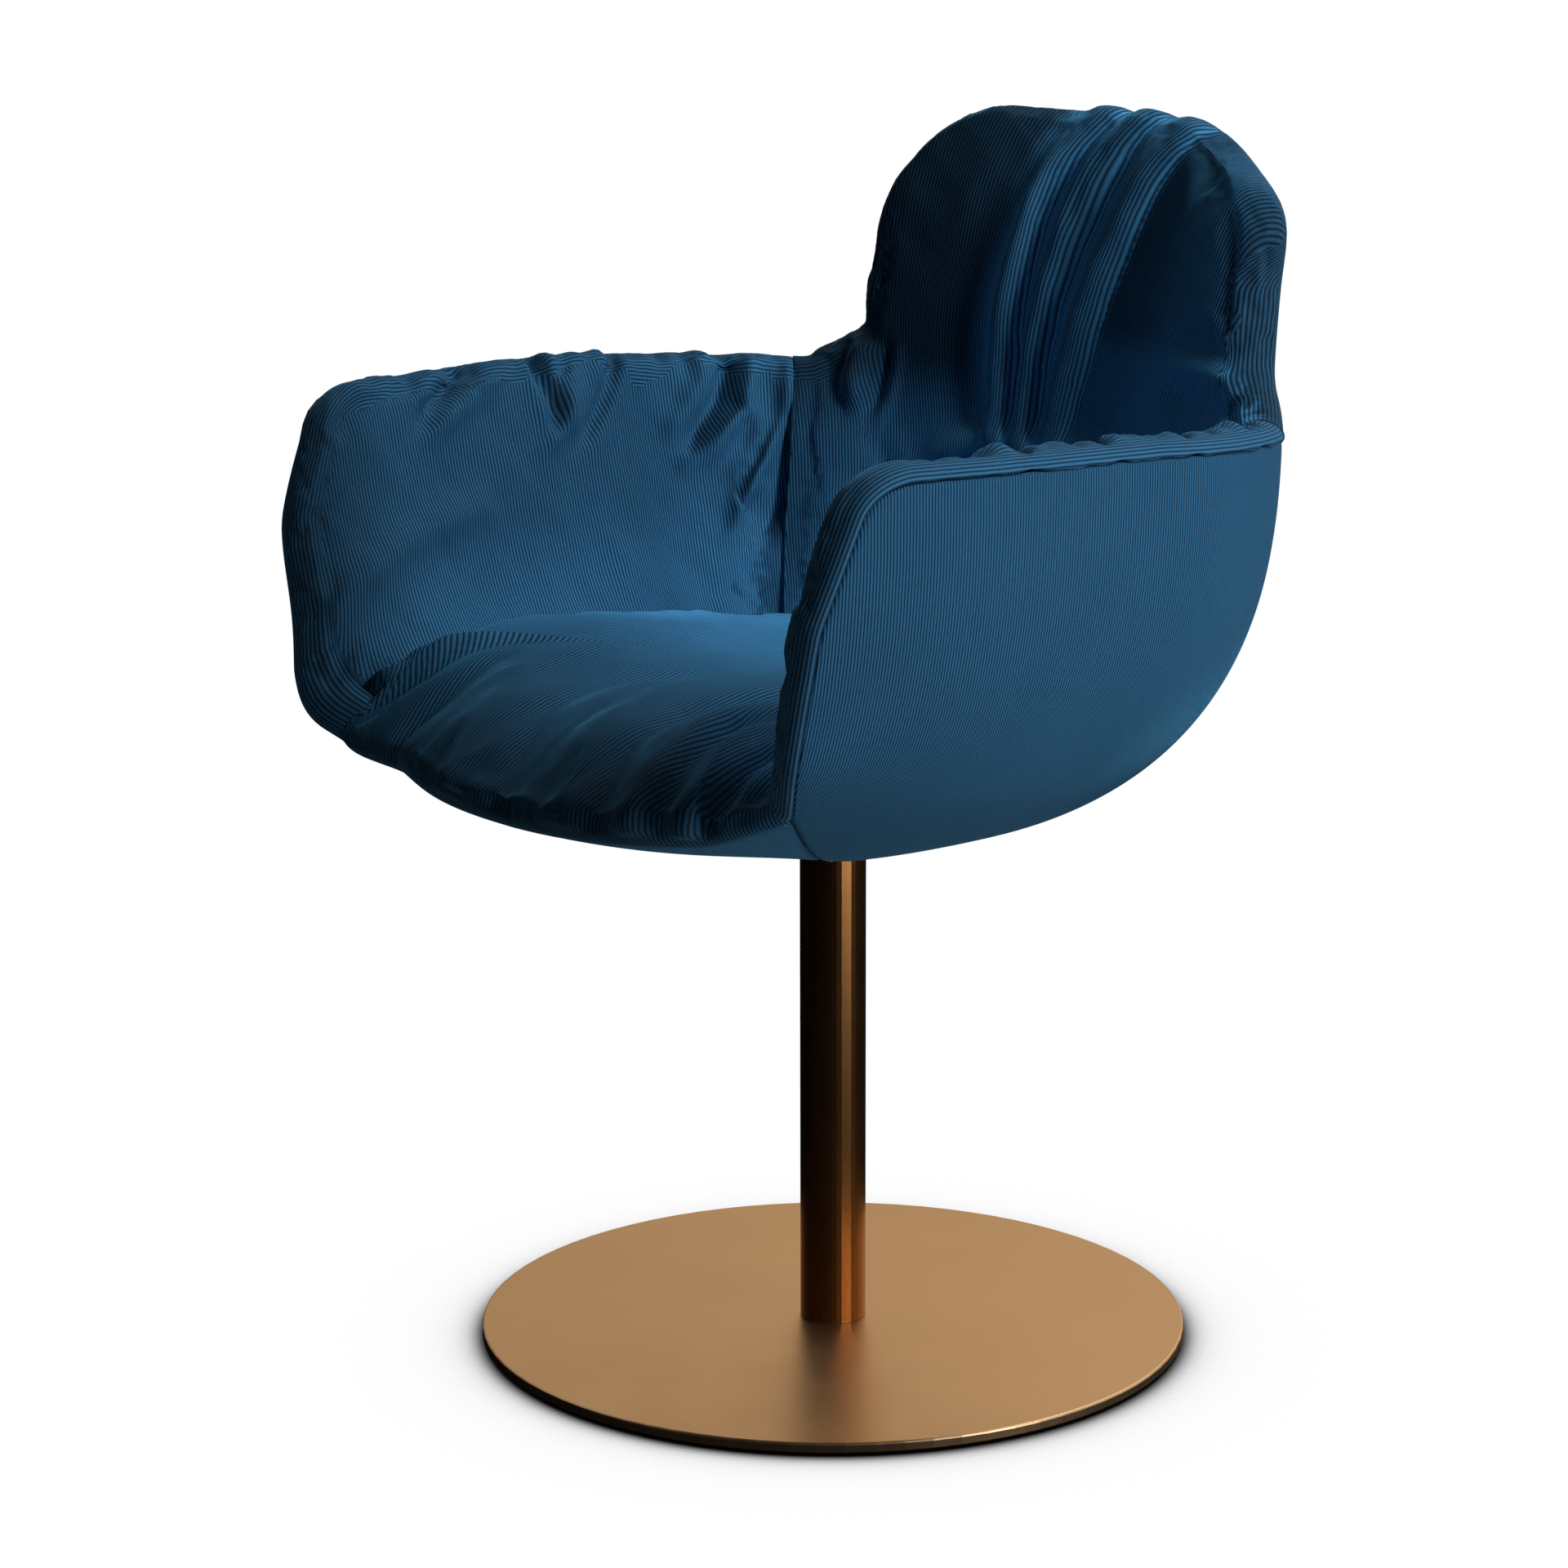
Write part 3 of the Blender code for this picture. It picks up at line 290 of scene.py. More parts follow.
# The bucket's form, with the shell's own driving dimensions
PLATE_GAP = 0.0008
BUCKET_LOW = plate_high.z + PLATE_GAP
HALF_WIDTH = 0.3185
BACK_REACH = 0.293
FRONT_REACH = 0.435
CURVE_HEIGHT = 0.300
PROFILE_POWER = 2.55
BACK_POWER = 2.2
FRONT_LOW_POWER = 2.25
FRONT_POWER_GAIN = 0.90
FRONT_POWER_LEVEL = 0.42
FRONT_BLEND = 0.35
FRONT_LIFT = 0.5
FRONT_LIFT_LIMIT = 0.16
BACK_LEAN = 0.012
LEAN_START = 0.220
LEAN_SPAN = 0.280
BOSS_RADIUS = 0.079
COVER_THICKNESS = 0.003


def ease(value):
    value = np.clip(value, 0.0, 1.0)
    return value * value * (3 - 2 * value)


def front_lift(angle):
    """How much sooner the bucket's profile rises at the front than at its sides."""
    return 1 + FRONT_LIFT * ease((-np.sin(angle) - 0.6) / 0.3)


def bucket_face(angle, rise):
    """Points of the taut outer face of the bucket."""
    c, s = np.cos(angle), np.sin(angle)
    quarter = np.clip(rise, 0.0, 1.0) * pi / 2
    spread = np.sin(quarter) ** (2 / PROFILE_POWER)
    level = np.where(rise > 1, rise, 1 - np.maximum(np.cos(quarter), 0.0) ** (2 / PROFILE_POWER))
    low = np.clip(level / FRONT_LIFT_LIMIT, 0.0, 1.0)
    level = np.where(level < FRONT_LIFT_LIMIT, FRONT_LIFT_LIMIT * low ** (1 / front_lift(angle)), level)
    height = CURVE_HEIGHT * level
    front = ease(0.5 - 0.5 * np.clip(s / FRONT_BLEND, -1, 1))
    front_power = FRONT_LOW_POWER + FRONT_POWER_GAIN * np.clip(level / FRONT_POWER_LEVEL, 0, 1) ** 1.2
    power = BACK_POWER + (front_power - BACK_POWER) * front
    reach = np.where(s > 0, BACK_REACH, FRONT_REACH)
    radius = (np.abs(c / HALF_WIDTH) ** power + np.abs(s / reach) ** power) ** (-1 / power)
    lean = BACK_LEAN * np.clip((height - LEAN_START) / LEAN_SPAN, 0, 1) * np.maximum(s, 0) ** 2
    return np.stack([spread * radius * c, spread * radius * s + lean, BUCKET_LOW + height], axis=-1)


def rise_at(angle, height):
    """Place along the profile at which the outer face reaches a height."""
    level = height / CURVE_HEIGHT
    low = np.clip(level / FRONT_LIFT_LIMIT, 0, 1)
    bent = np.where(level < FRONT_LIFT_LIMIT, FRONT_LIFT_LIMIT * low ** front_lift(angle), level)
    rise = np.arccos((1 - np.clip(bent, 0, 1)) ** (PROFILE_POWER / 2)) / (pi / 2)
    return np.where(level >= 1, level, rise)


def bucket_normal(angle, rise):
    step = 1e-4
    along = bucket_face(angle + step, rise) - bucket_face(angle - step, rise)
    up = bucket_face(angle, rise + step) - bucket_face(angle, rise - step)
    normal = np.cross(along, up)
    return normal / np.linalg.norm(normal, axis=-1, keepdims=True)


# The rim's corners on one side, from the middle of the front to the middle of the back: angle round the
# bucket, height above its low point, rounding, and the angle at which the path down from there ends
RIM = (
    (-90.0, 0.048, 0.0, -90.0),
    (-58.0, 0.056, 0.060, -57.0),
    (-47.0, 0.082, 0.018, -44.0),
    (-43.5, 0.220, 0.100, -30.0),
    (-38.5, 0.311, 0.030, -21.0),
    (0.0, 0.306, 0.300, 4.0),
    (40.0, 0.292, 0.030, 30.0),
    (50.5, 0.320, 0.030, 42.0),
    (54.5, 0.488, 0.100, 64.0),
    (90.0, 0.492, 0.0, 90.0),
)
SEAM_CORNER = 2
RIM_SCALE = 0.30
ARC_STEPS = 12


def rim_curve():
    """The rim as a fine chain of distance, height and foot angle, with its corners rounded, and the distance
    along it of the corner from which the diagonal seam runs down."""
    points = [np.array((radians(a) * RIM_SCALE, h)) for a, h, r, f in RIM]
    feet = [f for a, h, r, f in RIM]
    chain = [(*points[0], feet[0])]
    corner = None
    for k in range(1, len(points) - 1):
        before, after = points[k - 1] - points[k], points[k + 1] - points[k]
        room = 0.49 * min(hypot(*before), hypot(*after))
        before, after = before / hypot(*before), after / hypot(*after)
        opening = acos(float(np.clip(before @ after, -1, 1)))
        reach = min(RIM[k][2] / tan(opening / 2), room)
        radius = reach * tan(opening / 2)
        centre = points[k] + (before + after) / hypot(*(before + after)) * radius / sin(opening / 2)
        start, end = points[k] + before * reach, points[k] + after * reach
        turn_from = atan2(start[1] - centre[1], start[0] - centre[0])
        turn_to = atan2(end[1] - centre[1], end[0] - centre[0])
        sweep = (turn_to - turn_from + pi) % (2 * pi) - pi
        if k == SEAM_CORNER:
            corner = len(chain)
        for step in range(ARC_STEPS + 1):
            turn = turn_from + sweep * step / ARC_STEPS
            share = step / ARC_STEPS - 0.5
            beside = k + (1 if share > 0 else -1)
            reach_foot = reach / hypot(*(points[beside] - points[k]))
            foot = feet[k] + 2 * share * reach_foot * abs(feet[beside] - feet[k])
            chain.append((centre[0] + radius * cos(turn), centre[1] + radius * sin(turn), foot))
    chain.append((*points[-1], feet[-1]))
    chain = np.array(chain)
    steps = np.hypot(np.diff(chain[:, 0]), np.diff(chain[:, 1]))
    lengths = np.concatenate(([0.0], np.cumsum(steps)))
    return chain, lengths, float(lengths[corner] + lengths[corner + ARC_STEPS]) / 2


RIM_CHAIN, RIM_LENGTHS, CORNER = rim_curve()
RIM_LENGTH = float(RIM_LENGTHS[-1])


def bisect(value_at, target, low, high):
    """Where falling functions, one for each place, pass their target."""
    low, high = np.array(low, float), np.array(high, float)
    for _ in range(36):
        middle = (low + high) / 2
        above = value_at(middle) > target
        low, high = np.where(above, middle, low), np.where(above, high, middle)
    return (low + high) / 2


PAD_BORDER = 0.045
LEAST_PAD_DROP = 0.024


class Places:
    """Places along the rim, each with a path that runs from it down to the boss under the bowl. The shelf is
    the share of the path at which the pads end, under the seat."""

    def __init__(self, distances):
        self.distances = np.array(distances, float)
        count = len(self.distances)
        none, whole = np.zeros(count), np.ones(count)
        angle, height, foot, self.side = self.rim_at(self.distances)
        self.angle, self.foot, self.height = angle, foot, height
        self.rise = rise_at(angle, height)
        self.end_rise = bisect(lambda rise: -np.hypot(*bucket_face(foot, rise)[:, :2].T), -BOSS_RADIUS,
                               none, whole)
        shelf = BUCKET_LOW + np.minimum(PAD_BORDER, height - LEAST_PAD_DROP)
        self.shelf = bisect(lambda share: self.raw(share[:, None], 0)[:, 0, 2], shelf, none, whole)
        step = 0.0005
        ends = []
        for shifted in (self.distances + step, self.distances - step):
            a, h, _, side = self.rim_at(shifted)
            point = bucket_face(a, rise_at(a, h))
            point[:, 0] *= side * self.side
            ends.append(point)
        along = ends[0] - ends[1]
        self.along = along / np.linalg.norm(along, axis=1, keepdims=True)
        self.normal = bucket_normal(angle, self.rise)
        self.rim = bucket_face(angle, self.rise)
        beyond = np.cross(self.normal, self.along)
        down = self.rim - self.raw(np.full((count, 1), 0.05), 0)[:, 0]
        self.beyond = beyond * np.sign((beyond * down).sum(1, keepdims=True))
        self.beyond /= np.linalg.norm(self.beyond, axis=1, keepdims=True)

    @staticmethod
    def rim_at(distance):
        side = np.where(distance < 0, -1.0, 1.0)
        d = np.abs(distance)
        side = np.where(d > RIM_LENGTH, -side, side)
        d = np.where(d > RIM_LENGTH, 2 * RIM_LENGTH - d, d)
        across, height, foot = (np.interp(d, RIM_LENGTHS, RIM_CHAIN[:, k]) for k in range(3))
        return across / RIM_SCALE, height, np.radians(foot), side

    def raw(self, share, depth):
        angle = self.angle[:, None] + (self.foot - self.angle)[:, None] * share
        rise = self.rise[:, None] + (self.end_rise - self.rise)[:, None] * share
        point = bucket_face(angle, rise)
        if np.ndim(depth) or depth:
            point = point - bucket_normal(angle, rise) * np.asarray(depth)[..., None]
        return point

    def turned(self, points):
        """The points moved over to their own side of the bucket."""
        points = points.copy()
        points[..., 0] *= self.side[:, None]
        return points

    def inside(self, share, depth):
        """Points at shares of the paths, at depths below the outer face, as arrays of place by point."""
        return self.turned(self.raw(share, depth))

    def over(self, rise, depth):
        """Points beyond the rim by a rise, at a depth below the outer face."""
        point = (self.rim[:, None] + self.beyond[:, None] * rise[..., None]
                 - self.normal[:, None] * depth[..., None])
        return self.turned(point)

    def beside_rim(self, share):
        """Distance of points on the outer face from the nearest place along the rim."""
        rim = self.turned(self.rim[:, None])[:, 0]
        points = self.inside(share, 0 * share)
        return np.stack([np.linalg.norm(line[:, None] - rim[None], axis=2).min(1) for line in points])

    def path_lengths(self):
        line = self.raw(np.linspace(0, 1, 24)[None, :].repeat(len(self.angle), 0), 0)
        return np.linalg.norm(np.diff(line, axis=1), axis=2).sum(1)


def plan_line():
    """The bucket's plan at arm height, as points and their distance from the front along it."""
    angles = np.radians(np.linspace(-90, 270, 1441))
    points = bucket_face(angles, np.full_like(angles, 1.0))[:, :2]
    lengths = np.concatenate(([0.0], np.cumsum(np.linalg.norm(np.diff(points, axis=0), axis=1))))
    along = np.gradient(points, axis=0)
    along /= np.linalg.norm(along, axis=1, keepdims=True)
    return points, lengths, along


PLAN_POINTS, PLAN_LENGTHS, PLAN_ALONG = plan_line()
BLOCK = 4000


def wale_position(points):
    """Distance along the bucket's plan at which each point lies, so that the wales stand upright."""
    found = np.zeros(len(points))
    for start in range(0, len(points), BLOCK):
        block = points[start:start + BLOCK, :2]
        off = block[:, None, :] - PLAN_POINTS[None, :, :]
        nearest = np.clip((off ** 2).sum(2).argmin(1), 1, len(PLAN_POINTS) - 2)
        row = np.arange(len(block))
        here = (off[row, nearest] * PLAN_ALONG[nearest]).sum(1)
        beside = nearest + np.where(here > 0, 1, -1)
        there = (off[row, beside] * PLAN_ALONG[beside]).sum(1)
        share = np.clip(here / np.where(np.abs(here - there) < 1e-9, 1, here - there), 0, 1)
        gap = PLAN_LENGTHS[beside] - PLAN_LENGTHS[nearest]
        found[start:start + BLOCK] = PLAN_LENGTHS[nearest] + gap * share
    return found


def corduroy_group():
    """Fine wale corduroy: rounded ribs, brushed pile and rubbed areas. The ribs' light tops and dark grooves
    are the cloth's own stripes and also painted sheen and painted shade.
    The ribs are counted along the attribute wale, and in a border at the rim along the attribute band. The
    colour is then multiplied by a stored attribute of painted light and shade."""
    group, given, out = new_group(
        "corduroy",
        (("Rib", "Color", (0.030, 0.110, 0.200)), ("Groove", "Color", (0.004, 0.014, 0.030)),
         ("Brushed", "Color", (0.055, 0.160, 0.270)), ("Pitch", "Float", 0.0021),
         ("Wander", "Float", 0.0009), ("Border", "Float", 0.0)),
        (("Colour", "Color"), ("Roughness", "Float"), ("Height", "Float")))
    place = new_node(group, "TexCoord").outputs["Object"]
    upright = new_node(group, "Attribute", attribute_name="wale").outputs["Fac"]
    band = new_node(group, "Attribute", attribute_name="band").outputs["Fac"]
    drift = new_node(group, "TexNoise")
    pile = new_node(group, "TexNoise")
    patches = new_node(group, "TexNoise")
    for texture, scale, detail in ((drift, 26.0, 2.0), (pile, 950.0, 3.0), (patches, 13.0, 4.0)):
        group.links.new(place, texture.inputs["Vector"])
        texture.inputs["Scale"].default_value = scale
        texture.inputs["Detail"].default_value = detail
    ragged = math_node(group, "MULTIPLY_ADD", centred(group, drift), 0.055, band)
    on_band = math_node(group, "LESS_THAN", ragged, given["Border"])
    wale = math_node(group, "MULTIPLY_ADD", math_node(group, "SUBTRACT", band, upright), on_band, upright)
    shift = math_node(group, "MULTIPLY", centred(group, drift), given["Wander"])
    phase = math_node(group, "DIVIDE", math_node(group, "ADD", wale, shift), given["Pitch"])
    wave = math_node(group, "COSINE", math_node(group, "MULTIPLY", phase, 2 * pi))
    rib = math_node(group, "MULTIPLY_ADD", wave, 0.5, 0.5)
    rounded = math_node(group, "POWER", rib, 0.65)
    fuzz = math_node(group, "MULTIPLY_ADD", centred(group, pile), 0.9, 1.0)
    cover = math_node(group, "MULTIPLY", rounded, fuzz, clamp=True)
    worn = math_node(group, "MULTIPLY_ADD", patches.outputs[0], 1.5, -0.40, clamp=True)
    top = mix_colours(group, math_node(group, "MULTIPLY", worn, 0.55), given["Rib"], given["Brushed"])
    # Painted light and shade: the cloth's colour is multiplied by a stored factor that stands in for how the
    # lamps light each place.
    painted_light = new_node(group, "Attribute", attribute_name="painted_light").outputs["Fac"]
    painted_light_colour = new_node(group, "CombineColor")
    for channel in range(3):
        group.links.new(painted_light, painted_light_colour.inputs[channel])
    # Painted sheen and shade: besides the cloth's own stripes, the rib tops are painted light and the grooves
    # between them painted dark.
    cloth = mix_colours(group, cover, given["Groove"], top)
    group.links.new(mix_colours(group, 1.0, cloth, painted_light_colour.outputs[0], "MULTIPLY"), out["Colour"])
    group.links.new(math_node(group, "MULTIPLY_ADD", rounded, -0.10, 0.92), out["Roughness"])
    group.links.new(math_node(group, "MULTIPLY_ADD", pile.outputs[0], 0.22, rounded), out["Height"])
    return group


CORDUROY = corduroy_group()


PILE_HEIGHT = 0.0005


def corduroy_material(name, rib=(0.026, 0.125, 0.250), groove=(0.003, 0.014, 0.032),
                      brushed=(0.040, 0.165, 0.310), border=0.0, pitch=0.0024):
    material = bpy.data.materials.new(name)
    material.use_nodes = True
    tree = material.node_tree
    shader = tree.nodes["Principled BSDF"]
    cloth = new_node(tree, "Group", node_tree=CORDUROY)
    for socket, colour in (("Rib", rib), ("Groove", groove), ("Brushed", brushed)):
        cloth.inputs[socket].default_value = (*colour, 1.0)
    cloth.inputs["Border"].default_value = border
    cloth.inputs["Pitch"].default_value = pitch
    tree.links.new(cloth.outputs["Colour"], shader.inputs["Base Color"])
    tree.links.new(cloth.outputs["Roughness"], shader.inputs["Roughness"])
    shader.inputs["Sheen Weight"].default_value = 0.24
    shader.inputs["Sheen Roughness"].default_value = 0.30
    shader.inputs["Sheen Tint"].default_value = (0.12, 0.55, 0.90, 1.0)
    shader.inputs["Specular IOR Level"].default_value = 0.12
    bump = new_node(tree, "Bump")
    bump.inputs["Distance"].default_value = PILE_HEIGHT
    bump.inputs["Strength"].default_value = 0.7
    tree.links.new(cloth.outputs["Height"], bump.inputs["Height"])
    tree.links.new(bump.outputs[0], shader.inputs["Normal"])
    return material


TAUT_CORDUROY = corduroy_material("taut_corduroy", rib=(0.018, 0.100, 0.208),
                                  groove=(0.0025, 0.012, 0.028), brushed=(0.028, 0.132, 0.256))


# Where the stuffing pushes the cloth out or lets it sink: centre, shift and reach of each place
CORNER_FULLNESS = (
    ((-0.228, -0.262, 0.470), (-0.0270, -0.0235, -0.0200), 0.060),
    ((0.232, -0.258, 0.495), (0.0085, -0.0085, 0.0), 0.050),
    ((-0.300, -0.270, 0.700), (0.0060, 0.0040, -0.0040), 0.050),
    ((-0.310, -0.180, 0.710), (0.0, 0.0, -0.0060), 0.090),
    ((-0.225, 0.215, 0.735), (-0.0100, 0.0, 0.0030), 0.060),
    ((0.135, 0.262, 0.886), (0.0, 0.0, -0.0095), 0.042),
    ((0.206, 0.248, 0.855), (0.0080, 0.0, 0.0), 0.036),
    ((0.222, 0.240, 0.835), (0.0260, 0.0, 0.0), 0.042),
    ((0.240, 0.235, 0.785), (0.0120, 0.0, 0.0), 0.055),
    ((-0.165, 0.245, 0.865), (0.0, 0.0, -0.0040), 0.045),
    ((0.178, 0.256, 0.876), (-0.0020, 0.0, -0.0035), 0.032),
    ((-0.290, -0.300, 0.650), (0.0045, 0.0030, 0.0), 0.042),
)


def fill_corners(points):
    """The corners are stuffed fuller or flatter than the shell under them, and unlike from side to side."""
    moved = np.array(points, float)
    for centre, shift, reach in CORNER_FULLNESS:
        distance = np.linalg.norm(points - np.array(centre), axis=-1)
        moved += np.exp(-(distance / reach) ** 2)[..., None] * np.array(shift)
    return moved


def points_and_normals(mesh):
    points = np.zeros(3 * len(mesh.vertices))
    normals = np.zeros(3 * len(mesh.vertices))
    mesh.vertices.foreach_get("co", points)
    mesh.vertex_normals.foreach_get("vector", normals)
    return points.reshape(-1, 3), normals.reshape(-1, 3)


def paint_light(mesh, painted_light):
    """Stores painted light and shade: a factor on the cloth's colour at each point, found from where the point
    lies and which way it faces.
    """
    values = painted_light(*points_and_normals(mesh)) if painted_light else np.ones(len(mesh.vertices))
    mesh.attributes.new("painted_light", "FLOAT", "POINT").data.foreach_set("value", values.astype(np.float32))


def new_ring(bm, layers, ring, positions, widths):
    """One ring of a piece. Each point keeps its place across the upright ribs and the rim's border."""
    column = []
    for point, position, width in zip(ring, positions, widths):
        vertex = bm.verts.new(point)
        vertex[layers[0]] = position
        vertex[layers[1]] = width
        column.append(vertex)
    return column


def draped_mesh(bm, name, draping):
    """Turns the faces of a new piece outwards, lays its folds and makes a mesh of it."""
    bmesh.ops.recalc_face_normals(bm, faces=bm.faces)
    if draping:
        drape(bm, *draping)
    mesh = bpy.data.meshes.new(name)
    bm.to_mesh(mesh)
    bm.free()
    return mesh


def cloth_piece(name, rings, wale, material, stands_for, draping=None, band=None, painted_light=None):
    """Closed soft piece through rings of points, each ring a closed section. Fine by construction, so it is
    shaded smooth, and its wales are kept in an attribute that stays with the cloth as it folds."""
    bm = bmesh.new()
    layers = [bm.verts.layers.float.new(label) for label in ("wale", "band")]
    band = wale * 0 + 1 if band is None else band
    columns = [new_ring(bm, layers, *one) for one in zip(fill_corners(rings), wale, band)]
    count = len(columns[0])
    for here, there in zip(columns, columns[1:]):
        for k in range(count):
            after = (k + 1) % count
            bm.faces.new((here[k], here[after], there[after], there[k]))
    for column in (columns[0], columns[-1]):
        centre = bm.verts.new(sum((v.co for v in column), Vector()) / count)
        centre[layers[0]] = column[0][layers[0]]
        centre[layers[1]] = 1.0
        for k in range(count):
            bm.faces.new((column[k], column[(k + 1) % count], centre))
    mesh = draped_mesh(bm, name, draping)
    if draping:
        ring = np.minimum(np.arange(len(mesh.vertices)) // count, len(columns) - 1)
        inside = ease((np.minimum(ring, len(columns) - 1 - ring) - SEWN_RINGS) / FREEING_RINGS)
        settle(mesh, 1 - inside * draping[2](*points_and_normals(mesh)))
    paint_light(mesh, painted_light)
    soft_object(name, mesh, material, stands_for)


def soft_object(name, mesh, material, stands_for):
    mesh.materials.append(material)
    mesh.shade_smooth()
    piece = bpy.data.objects.new(name, mesh)
    bpy.context.collection.objects.link(piece)
    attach(piece, "seat")
    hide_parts(*stands_for)


def evenly(start, end, step):
    return np.linspace(start, end, max(2, round((end - start) / step) + 1))


HEM = 0.0045
HEM_TURN = 0.0017
COVER_STEP = 0.0065
COVER_POINTS = 76
HEM_POINTS = 4
EDGE_SHARE = 0.02


def name_of_node(name):
    return name.replace("cloth_", "")


def taut_cover(name, start, end, along_front=False):
    """A cover over the shell's outside, with its four edges turned in like a hem."""
    distances = evenly(start, end, COVER_STEP)
    places = Places(distances)
    lengths = places.path_lengths()
    top = np.linspace(0, EDGE_SHARE, HEM_POINTS)[:-1]
    middle = np.linspace(EDGE_SHARE, 1 - EDGE_SHARE, COVER_POINTS)
    bottom = np.linspace(1 - EDGE_SHARE, 1, HEM_POINTS)[1:]
    share = np.concatenate((top, middle, bottom))[None, :].repeat(len(distances), 0)
    top_edge = share * lengths[:, None]
    low_edge = (1 - share) * lengths[:, None]
    end_edge = np.minimum(distances - start, end - distances)[:, None] + 0 * share
    edge = np.minimum(np.minimum(top_edge, low_edge), end_edge)
    turned_in = HEM_TURN * (1 - np.sqrt(1 - (1 - np.clip(edge / HEM, 0, 1)) ** 2))
    outer = places.inside(share, turned_in)
    inner = places.inside(share, np.full_like(share, COVER_THICKNESS))
    wale = outer[..., 0] if along_front else wale_position(outer.reshape(-1, 3)).reshape(share.shape)
    rings = np.concatenate((outer, inner[:, ::-1]), axis=1)
    wale = np.concatenate((wale, wale[:, ::-1]), axis=1)
    cloth_piece(name, rings, wale, TAUT_CORDUROY, [name_of_node(name)])


SEAM = 0.0006
taut_cover("cloth_outer_cover_left", CORNER + SEAM, RIM_LENGTH - SEAM)
taut_cover("cloth_outer_cover_right", RIM_LENGTH + SEAM, 2 * RIM_LENGTH - CORNER - SEAM)
taut_cover("cloth_front_cover", -CORNER + SEAM, CORNER - SEAM, along_front=True)


# Arm pads: loose corduroy over soft foam, drawn over each arm's inner face, its crest and its front
# end. The cloth is cut too large on purpose, so it gathers along the crest and creases at the seat.

def along_line(points, line):
    """Distance of each point from a line of points, and its share along that line."""
    line = np.array(line, float)
    spans = np.diff(line, axis=0)
    lengths = np.linalg.norm(spans, axis=1)
    starts = np.concatenate(([0.0], np.cumsum(lengths)))
    nearest = np.full(len(points), 9.0)
    share = np.zeros(len(points))
    for origin, span, length, start in zip(line, spans, lengths, starts):
        t = np.clip(((points - origin) @ span) / length ** 2, 0, 1)
        distance = np.linalg.norm(points - origin - t[:, None] * span, axis=1)
        closer = distance < nearest
        nearest[closer] = distance[closer]
        share[closer] = ((start + t * length) / starts[-1])[closer]
    return nearest, share


def fade_ends(share, first, last):
    return ease(share / max(first, 1e-6)) * ease((1 - share) / max(last, 1e-6))


def valley(line, depth, width, lip=0.35, first=0.15, last=0.25):
    """The cloth is drawn in along a line and swells on both sides of it."""
    def shape(flat, points, normals):
        distance, share = along_line(flat, line)
        s = distance / width
        drawn = np.exp(-1.5 * s ** 1.3) - lip * np.exp(-((s - 2.0) / 0.9) ** 2)
        return -depth * fade_ends(share, first, last) * drawn
    return shape


def ridge(line, height, width, first=0.3, last=0.3):
    """The cloth stands up in a soft roll along a line."""
    def shape(flat, points, normals):
        distance, share = along_line(flat, line)
        return height * fade_ends(share, first, last) * np.exp(-(distance / width) ** 2)
    return shape


WAVES = 10
WAVE_SUM = 3.2


def slack(amount, size, seed):
    """Slow, uneven looseness of the cloth all over, from a few plane waves in fixed random directions."""
    rng = np.random.default_rng(seed)
    turns = rng.normal(size=(WAVES, 3))
    turns /= np.linalg.norm(turns, axis=1, keepdims=True)
    waves = turns * (2 * pi / size) * rng.uniform(0.6, 1.5, size=(WAVES, 1))
    starts = rng.uniform(0, 2 * pi, size=WAVES)
    def shape(flat, points, normals):
        return amount * np.sin(points @ waves.T + starts).sum(1) / WAVE_SUM
    return shape


def drape(bm, folds, axes, facing, rounds):
    """Moves the cloth of a new piece along its normals as its folds say, evened out over its neighbours. The
    folds are drawn flat, in the plane of two axes, and act on the cloth that faces the sitter."""
    bm.normal_update()
    points = np.array([v.co for v in bm.verts])
    normals = np.array([v.normal for v in bm.verts])
    moved = sum(fold(points[:, axes], points, normals) for fold in folds) * facing(points, normals)
    bm.verts.index_update()
    pairs = np.array([(edge.verts[0].index, edge.verts[1].index) for edge in bm.edges])
    beside = np.bincount(pairs.ravel(), minlength=len(points))
    for _ in range(rounds):
        total = np.bincount(pairs[:, 0], moved[pairs[:, 1]], len(points))
        total += np.bincount(pairs[:, 1], moved[pairs[:, 0]], len(points))
        moved = (moved + total / beside) / 2
    for vertex, point in zip(bm.verts, points + normals * moved[:, None]):
        vertex.co = point


# The simulation's values, the most that a point moves, and how many rings beside a seam are held or half held
CLOTH_VOXEL = 0.0060
CLOTH_QUALITY = 4
CLOTH_PRESSURE = 4.0
CLOTH_CUT_LARGER = 0.04
CLOTH_BENDING = 0.2
CLOTH_FRAMES = 20
CLOTH_CAP = 0.006
FOLLOWED_POINTS = 4
FOLLOW_SOFTNESS = 0.0005
SEWN_RINGS = 2
FREEING_RINGS = 8


def as_tree(points):
    tree = KDTree(len(points))
    for index, point in enumerate(points):
        tree.insert(point, index)
    tree.balance()
    return tree


